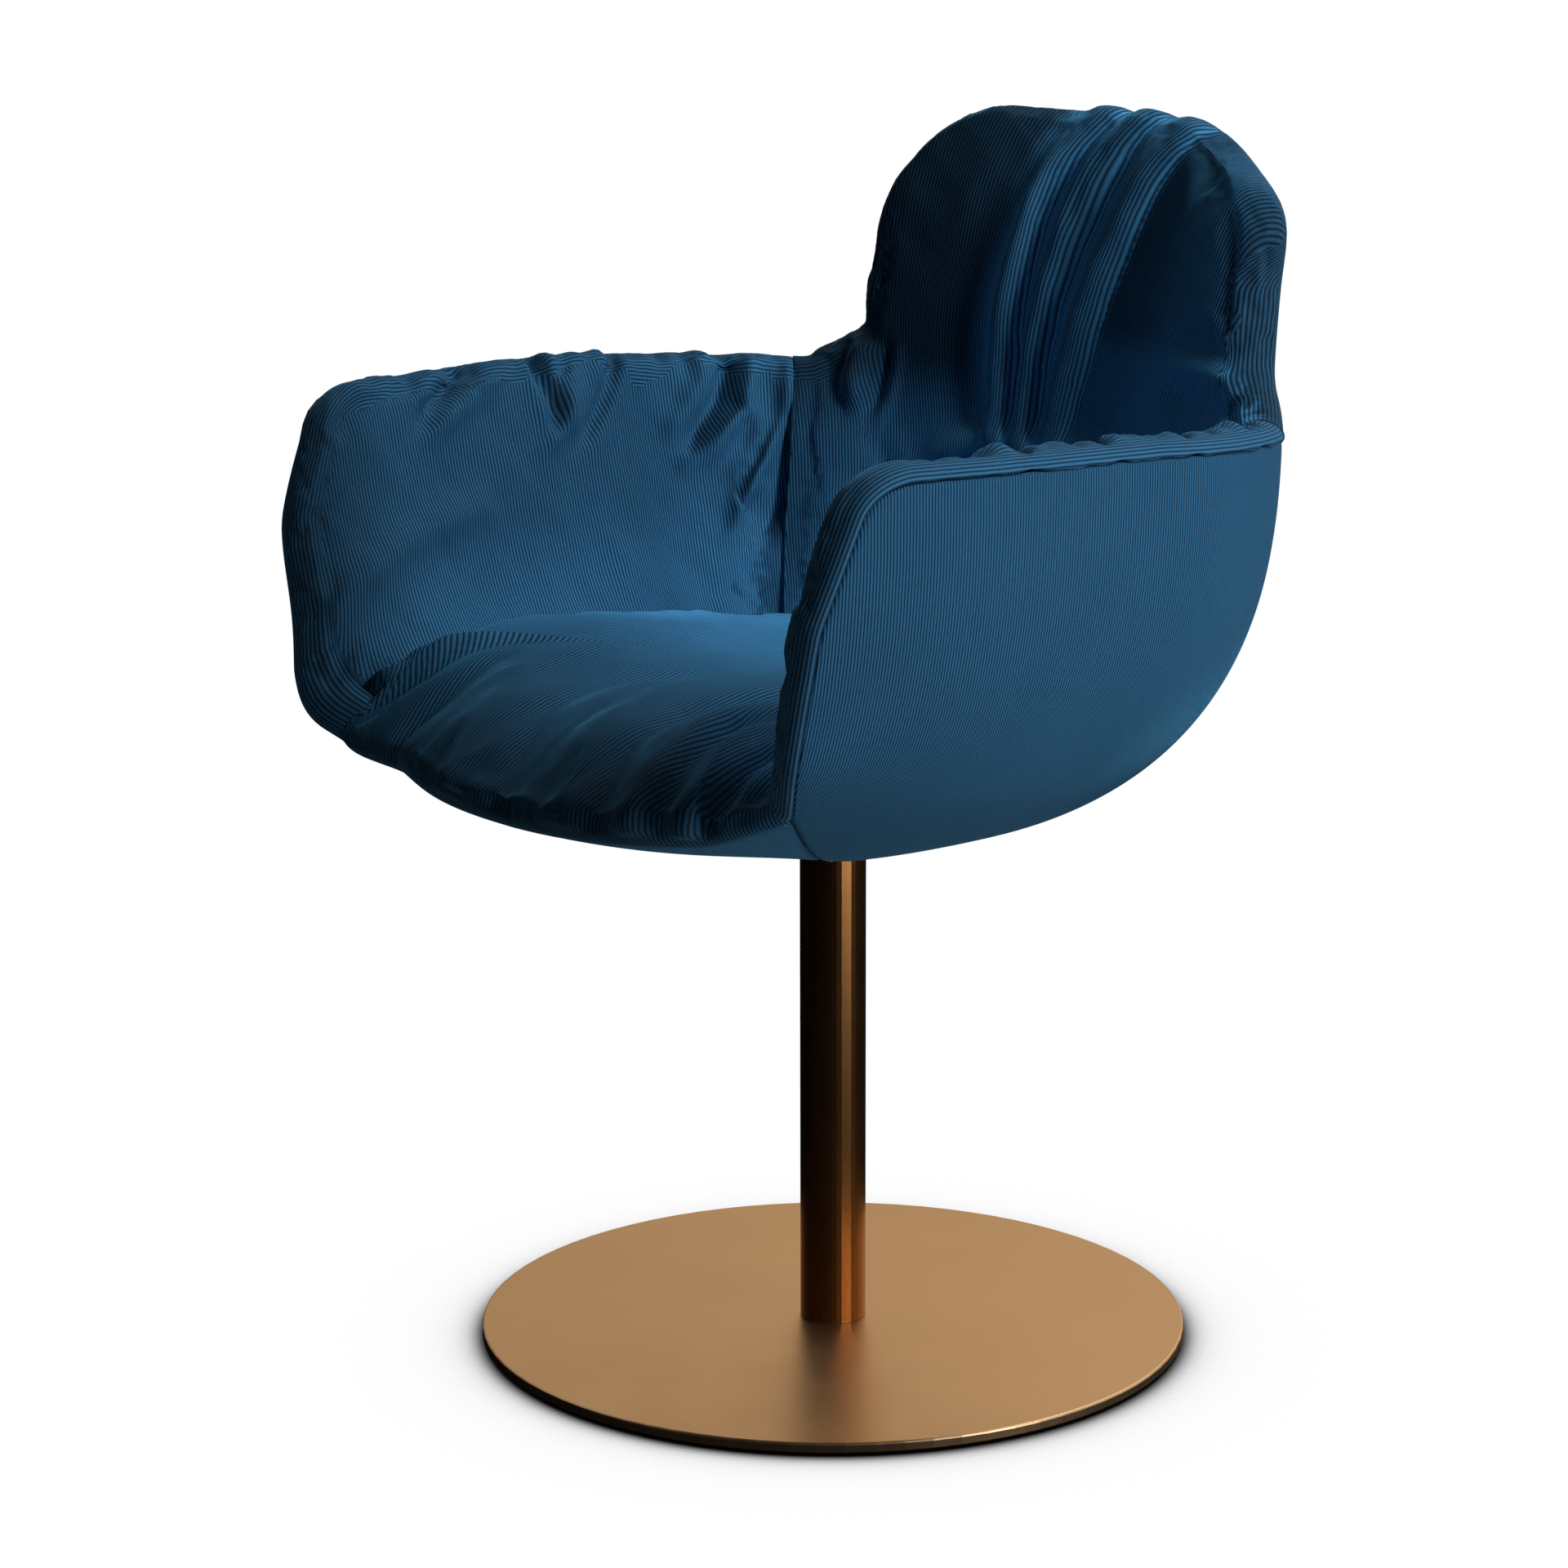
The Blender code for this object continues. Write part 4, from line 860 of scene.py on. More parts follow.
def settle(mesh, held):
    """Cloth simulation: a remeshed copy of the piece, cut a little too large, swells and creases where it
    isn't held. The piece's own points follow the copy, none of them by more than the cap."""
    points = points_and_normals(mesh)[0]
    model = bpy.data.objects.new("settling", mesh)
    bpy.context.collection.objects.link(model)
    remesh = model.modifiers.new("remesh", "REMESH")
    remesh.mode = "VOXEL"
    remesh.voxel_size = CLOTH_VOXEL
    copy = bpy.data.meshes.new_from_object(model.evaluated_get(bpy.context.evaluated_depsgraph_get()))
    model.modifiers.remove(remesh)
    model.data = copy
    start = points_and_normals(copy)[0]
    pinned = model.vertex_groups.new(name="held")
    tree = as_tree(points)
    for index, point in enumerate(start):
        pinned.add([index], float(held[tree.find(point)[1]]), "REPLACE")
    cloth = model.modifiers.new("cloth", "CLOTH")
    cloth.collision_settings.use_collision = False
    settings = cloth.settings
    settings.quality = CLOTH_QUALITY
    settings.vertex_group_mass = pinned.name
    settings.use_pressure = True
    settings.uniform_pressure_force = CLOTH_PRESSURE
    settings.shrink_min = -CLOTH_CUT_LARGER
    settings.bending_stiffness = CLOTH_BENDING
    settings.effector_weights.gravity = 0.0
    scene = bpy.context.scene
    for moment in range(1, CLOTH_FRAMES + 1):
        scene.frame_set(moment)
    settled = model.evaluated_get(bpy.context.evaluated_depsgraph_get()).data
    moved = points_and_normals(settled)[0] - start
    bpy.data.objects.remove(model)
    bpy.data.meshes.remove(copy)
    scene.frame_set(1)
    tree = as_tree(start)
    follow = np.zeros_like(points)
    for index, point in enumerate(points):
        near = tree.find_n(point, FOLLOWED_POINTS)
        weights = [1 / (distance + FOLLOW_SOFTNESS) ** 2 for place, other, distance in near]
        pulls = [weight * moved[other] for weight, (place, other, distance) in zip(weights, near)]
        follow[index] = sum(pulls) / sum(weights)
    far = np.maximum(np.linalg.norm(follow, axis=1), 1e-9)
    follow *= ((1 - held) * CLOTH_CAP * np.tanh(far / CLOTH_CAP) / far)[:, None]
    mesh.vertices.foreach_set("co", (points + follow).ravel())
    mesh.update()


# The pads' depth below the outer face: how thick they are filled, where they swell and where they thin out
JOINT_ANGLE = 37.0
JOINT = float(np.interp(radians(JOINT_ANGLE) * RIM_SCALE, RIM_CHAIN[:, 0], RIM_LENGTHS))
JOINT_BLEND = 0.080
ARM_FILL = 0.043
ARM_SWELL = 0.006
ARM_THINNER = 0.013
BACK_FILL = 0.050
BACK_SWELL = 0.016
BACK_SWELL_SHARE = 0.62
BACK_SWELL_REACH = 0.24
BACK_LOW_THINNER = 0.024
BACK_THINNER = 0.020
THINNER_SHARE = 0.30
THINNER_REACH = 0.12
END_TURN = 0.0015
END_REACH = 0.006


def pad_depth(places, share, end_distance):
    """Depth of a pad's inner face below the outer face, from the rim to the border under the seat."""
    along = np.minimum(np.abs(places.distances), 2 * RIM_LENGTH - places.distances)[:, None]
    near = places.beside_rim(places.shelf[:, None] * share)
    at_rim = np.clip(1 - np.minimum(share / THINNER_SHARE, near / THINNER_REACH), 0, 1) ** 2
    arm = ARM_FILL + ARM_SWELL * np.sin(pi * share) - ARM_THINNER * at_rim
    swell = ease(np.minimum(share / BACK_SWELL_SHARE, near / BACK_SWELL_REACH))
    low = ease((share - BACK_SWELL_SHARE) / (1 - BACK_SWELL_SHARE))
    back = BACK_FILL + BACK_SWELL * swell - BACK_LOW_THINNER * low - BACK_THINNER * at_rim
    at_back = ease((along - JOINT) / JOINT_BLEND + 0.5)
    depth = arm + (back - arm) * at_back
    return depth - END_TURN * (1 - ease(end_distance[:, None] / END_REACH))


EVENINGS = 40


def evened(rings, weight):
    """Rings evened out along the rim, so that the thick pad goes round a corner in one soft curve."""
    rings = rings.copy()
    for _ in range(EVENINGS):
        even = (rings[:-2] + 2 * rings[1:-1] + rings[2:]) / 4
        rings[1:-1] += (even - rings[1:-1]) * weight[None, :, None]
    return rings


CREST_HEIGHT = 0.0110
CREST_TURNS = np.linspace(0, 0.86 * pi, 22)
CREST_POWER = 2 / 2.1
CREST_TOP_POWER = 2 / 2.05
RIM_GAP = 0.0009
PAD_BACK = 0.0098
PAD_BACK_POINTS = 7
ROUND_CORNER = 0.02
FACE_EASE = 0.12
LOW_FRONT = 0.385
LOW_FRONT_BLEND = 0.08
LOW_FRONT_BORDER = 0.075


def pad_rings(start, end, step, face_points, lean):
    """Rings of a pad, with the place of each point along the plan and its distance across from the seam."""
    distances = evenly(start, end, step)
    places = Places(distances)
    ends = np.minimum(distances - start, end - distances)
    for corner in (CORNER, 2 * RIM_LENGTH - CORNER):
        ends = np.where(np.abs(distances - corner) < ROUND_CORNER, 1.0, ends)
    shares = np.linspace(0, 1, face_points)[None, :].repeat(len(distances), 0)
    rim_depth = pad_depth(places, np.zeros((len(distances), 1)), ends)
    across = 0.5 - 0.5 * np.sign(np.cos(CREST_TURNS)) * np.abs(np.cos(CREST_TURNS)) ** CREST_POWER
    depth = rim_depth * across[None, :] - RIM_GAP * (1 - across[None, :]) ** 3
    rise = CREST_HEIGHT * np.sin(CREST_TURNS)[None, :] ** CREST_TOP_POWER + RIM_GAP + 0 * depth
    lip = places.over(np.full_like(rim_depth, RIM_GAP), np.full_like(rim_depth, COVER_THICKNESS))
    crest = places.over(rise, depth)
    face = places.inside(places.shelf[:, None] * shares, pad_depth(places, shares, ends))
    face = evened(face, ease(shares[0] / FACE_EASE))
    back_share = places.shelf[:, None] * np.linspace(1, 0, PAD_BACK_POINTS)[None, :]
    back = places.inside(back_share, np.full_like(back_share, PAD_BACK))
    under = places.over(np.full_like(rim_depth, RIM_GAP), np.full_like(rim_depth, PAD_BACK))
    rings = np.concatenate((lip, crest, face, back, under), axis=1)
    wale = wale_position(rings.reshape(-1, 3)).reshape(rings.shape[:2])
    wale += lean(rings) if lean else 0.0
    shown = rings[:, :1 + crest.shape[1] + face.shape[1]]
    lengths = np.linalg.norm(np.diff(shown, axis=1), axis=2)
    band = np.ones(rings.shape[:2])
    band[:, 0] = 0
    band[:, 1:shown.shape[1]] = np.cumsum(lengths, axis=1)
    band += LOW_FRONT_BORDER * ease((places.height - LOW_FRONT) / LOW_FRONT_BLEND)[:, None]
    return rings, wale, band


LOOSE_CORDUROY = corduroy_material("loose_corduroy", border=0.050, pitch=0.0029)


def to_sitter(points, normals):
    """How squarely the cloth of an arm faces the sitter, from -1 to 1."""
    return -np.sign(points[:, 0]) * normals[:, 0]


def faces_in(points, normals):
    return ease((to_sitter(points, normals) + 0.28) / 0.45)


def soft_pad(name, start, end, step, face_points, draping, painted_light, lean=None):
    rings, wale, band = pad_rings(start, end, step, face_points, lean)
    cloth_piece(name, rings, wale, LOOSE_CORDUROY, [name_of_node(name)], draping, band, painted_light)


# Painted light and shade on an arm's inner face, as factors at distances from front to back
ARM_PAINTED_LIGHT = ((-0.33, 0.42), (-0.27, 0.50), (-0.19, 1.15), (0.04, 1.25), (0.12, 1.8), (0.20, 1.3))
END_DARKER = 0.36
LOW_LIGHTER = 0.35


# Painted light and shade: the inner face is lighter towards the back and low down, and the end facing forward
# is darker.
def arm_painted_light(points, normals):
    along = np.interp(points[:, 1], *zip(*ARM_PAINTED_LIGHT))
    inner = ease((to_sitter(points, normals) - 0.2) / 0.5)
    low = 1 + LOW_LIGHTER * ease((0.60 - points[:, 2]) / 0.08)
    end = 1 - END_DARKER * ease((-normals[:, 1] - 0.3) / 0.4)
    return end * (1 + (along * low - 1) * inner)


def crest_pucker(y, depth):
    """A short gather that comes up the inside of an arm and ends on its crest."""
    line = ((y - 0.016, 0.680), (y - 0.006, 0.700), (y, 0.706), (y + 0.002, 0.712))
    return valley(line, depth, 0.0050, last=0.0)


# The kind of each fold, its line as places from front to back and in height, its depth or height, its width
ARM_FOLDS = (
    (valley, ((-0.100, 0.705), (-0.120, 0.687), (-0.170, 0.655)), 0.0125, 0.0072),
    (ridge, ((-0.050, 0.703), (-0.085, 0.683), (-0.170, 0.650)), 0.0075, 0.0077),
    (valley, ((-0.040, 0.705), (-0.035, 0.680), (-0.029, 0.660), (-0.036, 0.635)), 0.0130, 0.0064),
    (ridge, ((-0.006, 0.704), (-0.011, 0.670), (-0.030, 0.644), (-0.056, 0.619)), 0.0080, 0.0072),
    (valley, ((0.046, 0.702), (0.022, 0.667), (-0.015, 0.625)), 0.0100, 0.0060),
    (valley, ((0.134, 0.694), (0.119, 0.657), (0.079, 0.612)), 0.0140, 0.0085),
    (ridge, ((0.150, 0.692), (0.135, 0.650), (0.068, 0.596)), 0.0080, 0.0080),
    (ridge, ((0.175, 0.694), (0.161, 0.640), (0.139, 0.606), (0.096, 0.547)), 0.0100, 0.0047),
    (valley, ((0.170, 0.660), (0.145, 0.585), (0.120, 0.545)), 0.0130, 0.0094),
    (ridge, ((-0.275, 0.525), (-0.240, 0.558), (-0.195, 0.580), (-0.140, 0.594), (-0.085, 0.592)),
     0.0080, 0.0145),
)


def arm_folds(gathers, seed):
    """The folds of an arm's inner face, and the short gathers on its crest at their places and depths."""
    made = [kind(line, amount, width) for kind, line, amount, width in ARM_FOLDS]
    made += [crest_pucker(y, depth) for y, depth in gathers]
    return made + [slack(0.0011, 0.085, seed), slack(0.0005, 0.032, seed + 1)]


NEAR_GATHERS = ((-0.178, 0.0045), (-0.140, 0.0035), (-0.108, 0.0040), (-0.055, 0.0040), (0.052, 0.0045),
                (0.085, 0.0030), (0.165, 0.0040))
FAR_GATHERS = ((-0.150, 0.0030), (-0.090, 0.0025), (0.000, 0.0030), (0.090, 0.0020))
PAD_OVERLAP = 0.0003
ARM_START = CORNER - PAD_OVERLAP
ARM_END = JOINT + PAD_OVERLAP
soft_pad("cloth_arm_pad_left", ARM_START, ARM_END, 0.0030, 96,
         (arm_folds(NEAR_GATHERS, 31), (1, 2), faces_in, 2), arm_painted_light)
soft_pad("cloth_arm_pad_right", 2 * RIM_LENGTH - ARM_END, 2 * RIM_LENGTH - ARM_START, 0.0030, 96,
         (arm_folds(FAR_GATHERS, 41), (1, 2), faces_in, 2), arm_painted_light)


# Back pad: the same loose corduroy, gathered by hand into long pleats that run from the crest down to
# the seat and lean over to one side.

# Each lap's edge from the crest down to the seat, and the start of the first, as places across and heights
LAP_EDGES = (
    ((0.030, 0.900), (-0.015, 0.861), (-0.032, 0.821), (-0.046, 0.740), (-0.048, 0.640)),
    ((0.074, 0.900), (0.050, 0.881), (0.012, 0.803), (-0.018, 0.708), (-0.022, 0.670), (-0.022, 0.635)),
    ((0.128, 0.896), (0.106, 0.874), (0.076, 0.835), (0.040, 0.738), (0.009, 0.650), (0.006, 0.632)),
)
LAP_START = ((-0.035, 0.900), (-0.066, 0.812), (-0.087, 0.718), (-0.082, 0.665), (-0.069, 0.640))
EDGE_ROUNDING = 0.024


def crease_lines(height):
    """Distance from the middle of the start of the first lap and of each lap's edge, at some heights."""
    lines = []
    for line in (LAP_START, *LAP_EDGES):
        across, levels = zip(*line[::-1])
        shifts = np.linspace(-EDGE_ROUNDING, EDGE_ROUNDING, 5)
        lines.append(sum(np.interp(height + shift, levels, across) for shift in shifts) / len(shifts))
    return lines


SIDE_OF_BACK = 0.30
UPRIGHT_AT = 0.70


def lean_of_laps(points):
    """How far the wales lean with the laps, easing off towards the sides of the back."""
    creases = crease_lines(points[..., 2])
    anchors = [float(line[0]) for line in crease_lines(np.array([UPRIGHT_AT]))]
    places = [-SIDE_OF_BACK, *creases, SIDE_OF_BACK]
    shifts = [0.0, *(crease - anchor for crease, anchor in zip(creases, anchors)), 0.0]
    lean = np.zeros(points.shape[:-1])
    for low, high, first, second in zip(places, places[1:], shifts, shifts[1:]):
        share = (points[..., 0] - low) / (high - low)
        lean = np.where((share >= 0) & (share < 1), first + (second - first) * share, lean)
    return lean


# Painted light and shade on the back: its plain cloth, the laps, and the cloth's edge on the sitter's left
PLAIN_PAINTED_LIGHT = 0.42
PLAIN_LOW_LIGHTER = 1.60
LAP_START_PAINTED_LIGHT = 2.4
LAP_PAINTED_LIGHT = 2.8
LAP_DARKER = 1.3
LAP_EDGE_LIGHTER = 1.0
LEFT_PAINTED_LIGHT = 0.9
LEFT_LIGHTER = 1.2
LEFT_LOW_LIGHTER = 1.0
EDGE_PAINTED_SHADE = 0.42


def back_painted_light(points, normals):
    """Painted light and shade: the laps and the cloth beyond them are painted light, and the plain cloth
    beside them and the edge on the sitter's left are painted dark.
    """
    x, height = points[:, 0], points[:, 2]
    creases = crease_lines(height)
    plain = PLAIN_PAINTED_LIGHT + PLAIN_LOW_LIGHTER * ease((0.700 - height) / 0.07)
    plain *= 1 - 0.45 * ease((-x - 0.15) / 0.06)
    painted_light = plain + (LAP_START_PAINTED_LIGHT - plain) * ease((x - creases[0] + 0.018) / 0.026)
    for low, high in zip(creases, creases[1:]):
        share = (x - low) / (high - low)
        lap = LAP_PAINTED_LIGHT - LAP_DARKER * ease((share - 0.15) / 0.4)
        lap += LAP_EDGE_LIGHTER * ease((share - 0.88) / 0.07)
        painted_light = np.where((x >= low + 0.008 * (low is creases[0])) & (x < high), lap, painted_light)
    left = LEFT_PAINTED_LIGHT + LEFT_LIGHTER * ease((x - creases[-1] - 0.02) / 0.08)
    left += LEFT_LOW_LIGHTER * ease((0.735 - height) / 0.03)
    painted_light = np.where(x > creases[-1], left, painted_light)
    at_edge = ease((normals[:, 0] + 0.25) / 0.6) * ease((x - 0.10) / 0.12)
    inner = ease((0.30 - normals[:, 1]) / 0.5)
    return 1 + (painted_light + (EDGE_PAINTED_SHADE - painted_light) * at_edge - 1) * np.maximum(inner, at_edge)


def faces_forward(points, normals):
    return ease(0.60 - normals[:, 1])


LAP_DEPTH = 0.0160
LAP_TURN = 0.60
FIRST_CLIMB = 0.045
LAST_CLIMB = 0.095
LAPS_LOW = 0.622
LAPS_HIGH = 0.835


def laps(flat, points, normals):
    """The gathered back: three laps that lie over one another to the sitter's left. Each climbs gently out
    of one crease, and rolls over and down into the next. The cloth climbs slowly out of the last."""
    x, height = points[:, 0], points[:, 2]
    creases = crease_lines(height)
    shape = 0.5 * ease((creases[0] - x) / FIRST_CLIMB)
    for low, high in zip(creases, creases[1:]):
        share = np.clip((x - low) / (high - low), 0, 1)
        climb = ease(share / LAP_TURN)
        roll = np.sqrt(np.clip(1 - ((share - LAP_TURN) / (1 - LAP_TURN)) ** 2, 0, 1))
        shape = np.where((x >= low) & (x < high), np.where(share < LAP_TURN, climb, roll), shape)
    shape = np.where(x >= creases[-1], 0.55 * ease((x - creases[-1]) / LAST_CLIMB), shape)
    low_end = ease((height - LAPS_LOW) / 0.040)
    high_end = 1 - 0.65 * ease((height - LAPS_HIGH) / 0.050)
    return LAP_DEPTH * (shape - 0.45) * low_end * high_end


# The laps, the slits at their upper ends, the roll over the seat, and small folds at both joints to the arms
BACK_FOLDS = (
    laps,
    valley(((-0.014, 0.846), (-0.029, 0.830), (-0.039, 0.800)), 0.0028, 0.0055),
    valley(((0.022, 0.858), (0.006, 0.830), (-0.006, 0.790)), 0.0026, 0.0055),
    valley(((0.070, 0.870), (0.050, 0.835), (0.036, 0.800)), 0.0022, 0.0055),
    ridge(((-0.150, 0.590), (-0.110, 0.622), (-0.065, 0.636), (-0.020, 0.630), (0.030, 0.622), (0.080, 0.618)),
          0.0110, 0.0140),
    ridge(((0.105, 0.700), (0.140, 0.708), (0.180, 0.704), (0.216, 0.698)),
          0.0035, 0.0120, first=0.35, last=0.1),
    valley(((0.115, 0.726), (0.155, 0.727), (0.205, 0.720)), 0.0024, 0.0110),
    valley(((0.110, 0.684), (0.150, 0.688), (0.200, 0.682)), 0.0030, 0.0100),
    ridge(((-0.190, 0.700), (-0.193, 0.688), (-0.192, 0.668), (-0.180, 0.648)), 0.0110, 0.0090, first=0.1),
    valley(((-0.172, 0.702), (-0.170, 0.680), (-0.172, 0.660), (-0.182, 0.642)), 0.0080, 0.0060),
    slack(0.0013, 0.110, 7),
    slack(0.0005, 0.040, 8),
)
soft_pad("cloth_back_pad", JOINT - PAD_OVERLAP, 2 * RIM_LENGTH - JOINT + PAD_OVERLAP, 0.0027, 130,
         (BACK_FOLDS, (0, 2), faces_forward, 3), back_painted_light, lean_of_laps)


# Seat: one loose corduroy cover over a soft cushion. It runs from the crease under the back over the
# open front edge, round the front roll, and is caught in the seam under the rim.

SEAT_LEVEL = BUCKET_LOW + 0.115
SEAT_CROWN = 0.010
CROWN_HALF_WIDTH = 0.25
CROWN_REACH = 0.29
# How far the cushion stands up against the far arm, at distances from front to back
FAR_FULLNESS = ((-0.29, 0.008), (-0.20, 0.026), (-0.10, 0.022), (0.02, 0.008), (0.10, 0.001), (0.20, 0.003))


def far_fullness(x, y):
    """The cushion is pushed up against the far arm, most of all towards its front."""
    return np.interp(y, *zip(*FAR_FULLNESS)) * ease((-x - 0.03) / 0.15)


def seat_level(x, y):
    across = np.clip(1 - (x / CROWN_HALF_WIDTH) ** 2, 0, 1)
    along = np.clip(1 - (y / CROWN_REACH) ** 2, 0, 1)
    return SEAT_LEVEL + SEAT_CROWN * across * along + far_fullness(x, y)


SEAT_STEP = 0.0029
TOP_POINTS = 62
ROLL_POINTS = 23
SIDE_POINTS = 22
LOW_POINTS = 14
CREASE_DROP = 0.013
FRONT_TURN = 0.62 * pi
ROLL_DEPTH = 0.036
ROLL_FULLER = 0.018
ROLL_HIGHER = 0.0095
ROLL_BLEND = 0.09
SEAT_GAP = 0.0012
BORDER_GAP = 0.004


def seat_rings():
    """Lines of points from the middle of the seat out over its edge and back to the middle below. At the
    open front they run round the roll, and elsewhere down between the seat and the pads."""
    half = 2 * RIM_LENGTH - CORNER
    distances = np.concatenate((evenly(-CORNER + 0.0002, CORNER - 0.0002, SEAT_STEP),
                                evenly(CORNER + 0.0002, half - 0.0002, 2 * SEAT_STEP)))
    places = Places(distances)
    count = len(distances)
    front = np.abs(distances) < CORNER
    no_end = np.full(count, 9.0)
    zero = np.zeros((count, 1))
    def face(share):
        return places.inside(places.shelf[:, None] * share, pad_depth(places, share, no_end) + SEAT_GAP)
    crease_level = SEAT_LEVEL - CREASE_DROP + far_fullness(0.2 * places.side, places.rim[:, 1])
    crease = bisect(lambda share: face(share[:, None])[:, 0, 2], crease_level, np.zeros(count),
                    np.full(count, 0.96))
    open_front = ease((CORNER - np.abs(distances)) / ROLL_BLEND)[:, None]
    roll_depth = ROLL_DEPTH + ROLL_FULLER * open_front
    roll_rise = CREST_HEIGHT + ROLL_HIGHER * open_front
    shoulder = places.over(roll_rise * sin(FRONT_TURN) ** 0.95 + RIM_GAP,
                           roll_depth * (0.5 - 0.5 * abs(cos(FRONT_TURN)) ** 0.95))[:, 0]
    edge = np.where(front[:, None], shoulder, face(crease[:, None])[:, 0])
    share = np.linspace(0.02, 1, TOP_POINTS)
    x, y = edge[:, None, 0] * share, edge[:, None, 1] * share
    drop = np.sqrt(np.clip(1 - np.clip((share - 0.86) / 0.14, 0, 1) ** 2, 0, 1))[None, :]
    glide = (1 - np.clip((share - 0.25) / 0.75, 0, 1) ** 3.6)[None, :]
    keep = np.where(front[:, None], glide, drop)
    z = edge[:, None, 2] + (seat_level(x, y) - edge[:, None, 2]) * keep
    top = np.stack([x, y, z], axis=-1)
    turns = np.linspace(FRONT_TURN, pi, ROLL_POINTS)[None, 1:]
    across = 0.5 + 0.5 * np.sign(np.cos(turns)) * np.abs(np.cos(turns)) ** CREST_POWER
    roll = places.over(roll_rise * np.sin(turns) ** CREST_POWER + RIM_GAP,
                       roll_depth * across - RIM_GAP * (1 - across) ** 3 + 0 * zero)
    side = face(crease[:, None] + (1 - crease[:, None]) * np.linspace(0.03, 1, SIDE_POINTS)[None, :])
    rest = np.where(front[:, None, None], roll, side)
    hem = places.over(zero + RIM_GAP, zero + COVER_THICKNESS)
    under_top = places.over(zero + RIM_GAP, zero + PAD_BACK)
    border_share = places.shelf + BORDER_GAP
    border = places.inside(border_share[:, None] + zero, zero + PAD_BACK)
    middle = np.where(front[:, None, None], np.concatenate((hem, under_top), axis=1),
                      np.concatenate(((side[:, -1:] + border) / 2, border), axis=1))
    low_start = np.where(front, 0.0, border_share)[:, None]
    low_share = low_start + (1 - low_start) * np.linspace(0, 1, LOW_POINTS)[None, 1:]
    low = places.inside(low_share, PAD_BACK + 0 * low_share)
    return np.concatenate((top, rest, middle, low), axis=1)


# The long folds, as lines of places across and from front to back. All run on round the front to the hem
FRONT_HEM = -0.400
LONG_FOLDS = (
    (valley, ((-0.130, -0.170), (-0.149, -0.225), (-0.166, -0.270)), 0.0035, 0.0090),
    (ridge, ((-0.070, -0.060), (-0.108, -0.165), (-0.108, -0.199), (-0.064, -0.296)), 0.0036, 0.0150),
    (valley, ((-0.005, -0.070), (-0.044, -0.176), (-0.043, -0.229), (-0.007, -0.297)), 0.0034, 0.0135),
    (ridge, ((0.045, -0.040), (0.019, -0.162), (0.018, -0.224), (0.055, -0.299)), 0.0045, 0.0135),
    (valley, ((0.090, -0.080), (0.058, -0.185), (0.066, -0.249), (0.092, -0.292)), 0.0060, 0.0100),
    (ridge, ((0.130, -0.090), (0.090, -0.188), (0.103, -0.249), (0.119, -0.284)), 0.0075, 0.0100),
    (valley, ((0.150, -0.120), (0.108, -0.183), (0.117, -0.230), (0.137, -0.274)), 0.0065, 0.0075),
    (ridge, ((0.170, -0.140), (0.124, -0.190), (0.134, -0.224), (0.153, -0.265)), 0.0100, 0.0090),
    (valley, ((0.190, -0.170), (0.160, -0.205), (0.164, -0.235), (0.166, -0.258)), 0.0140, 0.0075),
)


def seat_folds():
    made = [kind((*line, (line[-1][0], FRONT_HEM)), amount, width, last=0.1)
            for kind, line, amount, width in LONG_FOLDS]
    made.append(ridge(((0.205, -0.190), (0.184, -0.220), (0.182, -0.250)), 0.0080, 0.0080, last=0.2))
    return made + [slack(0.0013, 0.090, 17), slack(0.0005, 0.035, 18)]


def faces_up(points, normals):
    return ease((normals[:, 2] + 0.45) / 0.4)


# Painted light and shade on the seat, as factors at distances from front to back
SEAT_PAINTED_LIGHT = ((-0.31, 0.36), (-0.27, 0.46), (-0.20, 0.95), (-0.10, 1.60), (0.06, 4.20), (0.20, 5.20))
FAR_LIGHTER = 0.6
NEAR_LIGHTER = 1.6


def seat_painted_light(points, normals):
    """Painted light: the light comes from the sitter's left and from behind, so the cloth there is painted
    lightest and the front darkest.
    """
    x, height = points[:, 0], points[:, 2]
    painted_light = np.interp(points[:, 1], *zip(*SEAT_PAINTED_LIGHT))
    painted_light *= 1 + FAR_LIGHTER * ease((-x - 0.13) / 0.06) * ease((height - 0.49) / 0.02)
    return painted_light * (1 + NEAR_LIGHTER * ease((x - 0.08) / 0.10) * ease((height - 0.47) / 0.02))


def seat_cover():
    bm = bmesh.new()
    layers = [bm.verts.layers.float.new(label) for label in ("wale", "band")]
    top = bm.verts.new((0, 0, float(seat_level(0, 0))))
    low = bm.verts.new((0, 0, BUCKET_LOW + PAD_BACK))
    rings = fill_corners(seat_rings())
    columns = [new_ring(bm, layers, ring, ring[:, 0], np.ones(len(ring))) for ring in rings]
    for here, there in zip(columns, columns[1:] + columns[:1]):
        bm.faces.new((top, here[0], there[0]))
        for k in range(len(here) - 1):
            bm.faces.new((here[k], here[k + 1], there[k + 1], there[k]))
        bm.faces.new((here[-1], low, there[-1]))
    mesh = draped_mesh(bm, "cloth_seat", (seat_folds(), (0, 1), faces_up, 8))
    settle(mesh, 1 - faces_up(*points_and_normals(mesh)))
    paint_light(mesh, seat_painted_light)
    soft_object("cloth_seat", mesh, LOOSE_CORDUROY, ["seat_cushion", "front_pad"])


seat_cover()


# Studio: a white floor and background, a soft lamp high on the sitter's left with a weak one low beside
# it, a third high behind the chair, and a camera at the photograph's height and angle.

SHADOW_REACH = 0.12
SHADOW_DEPTH = 4.2


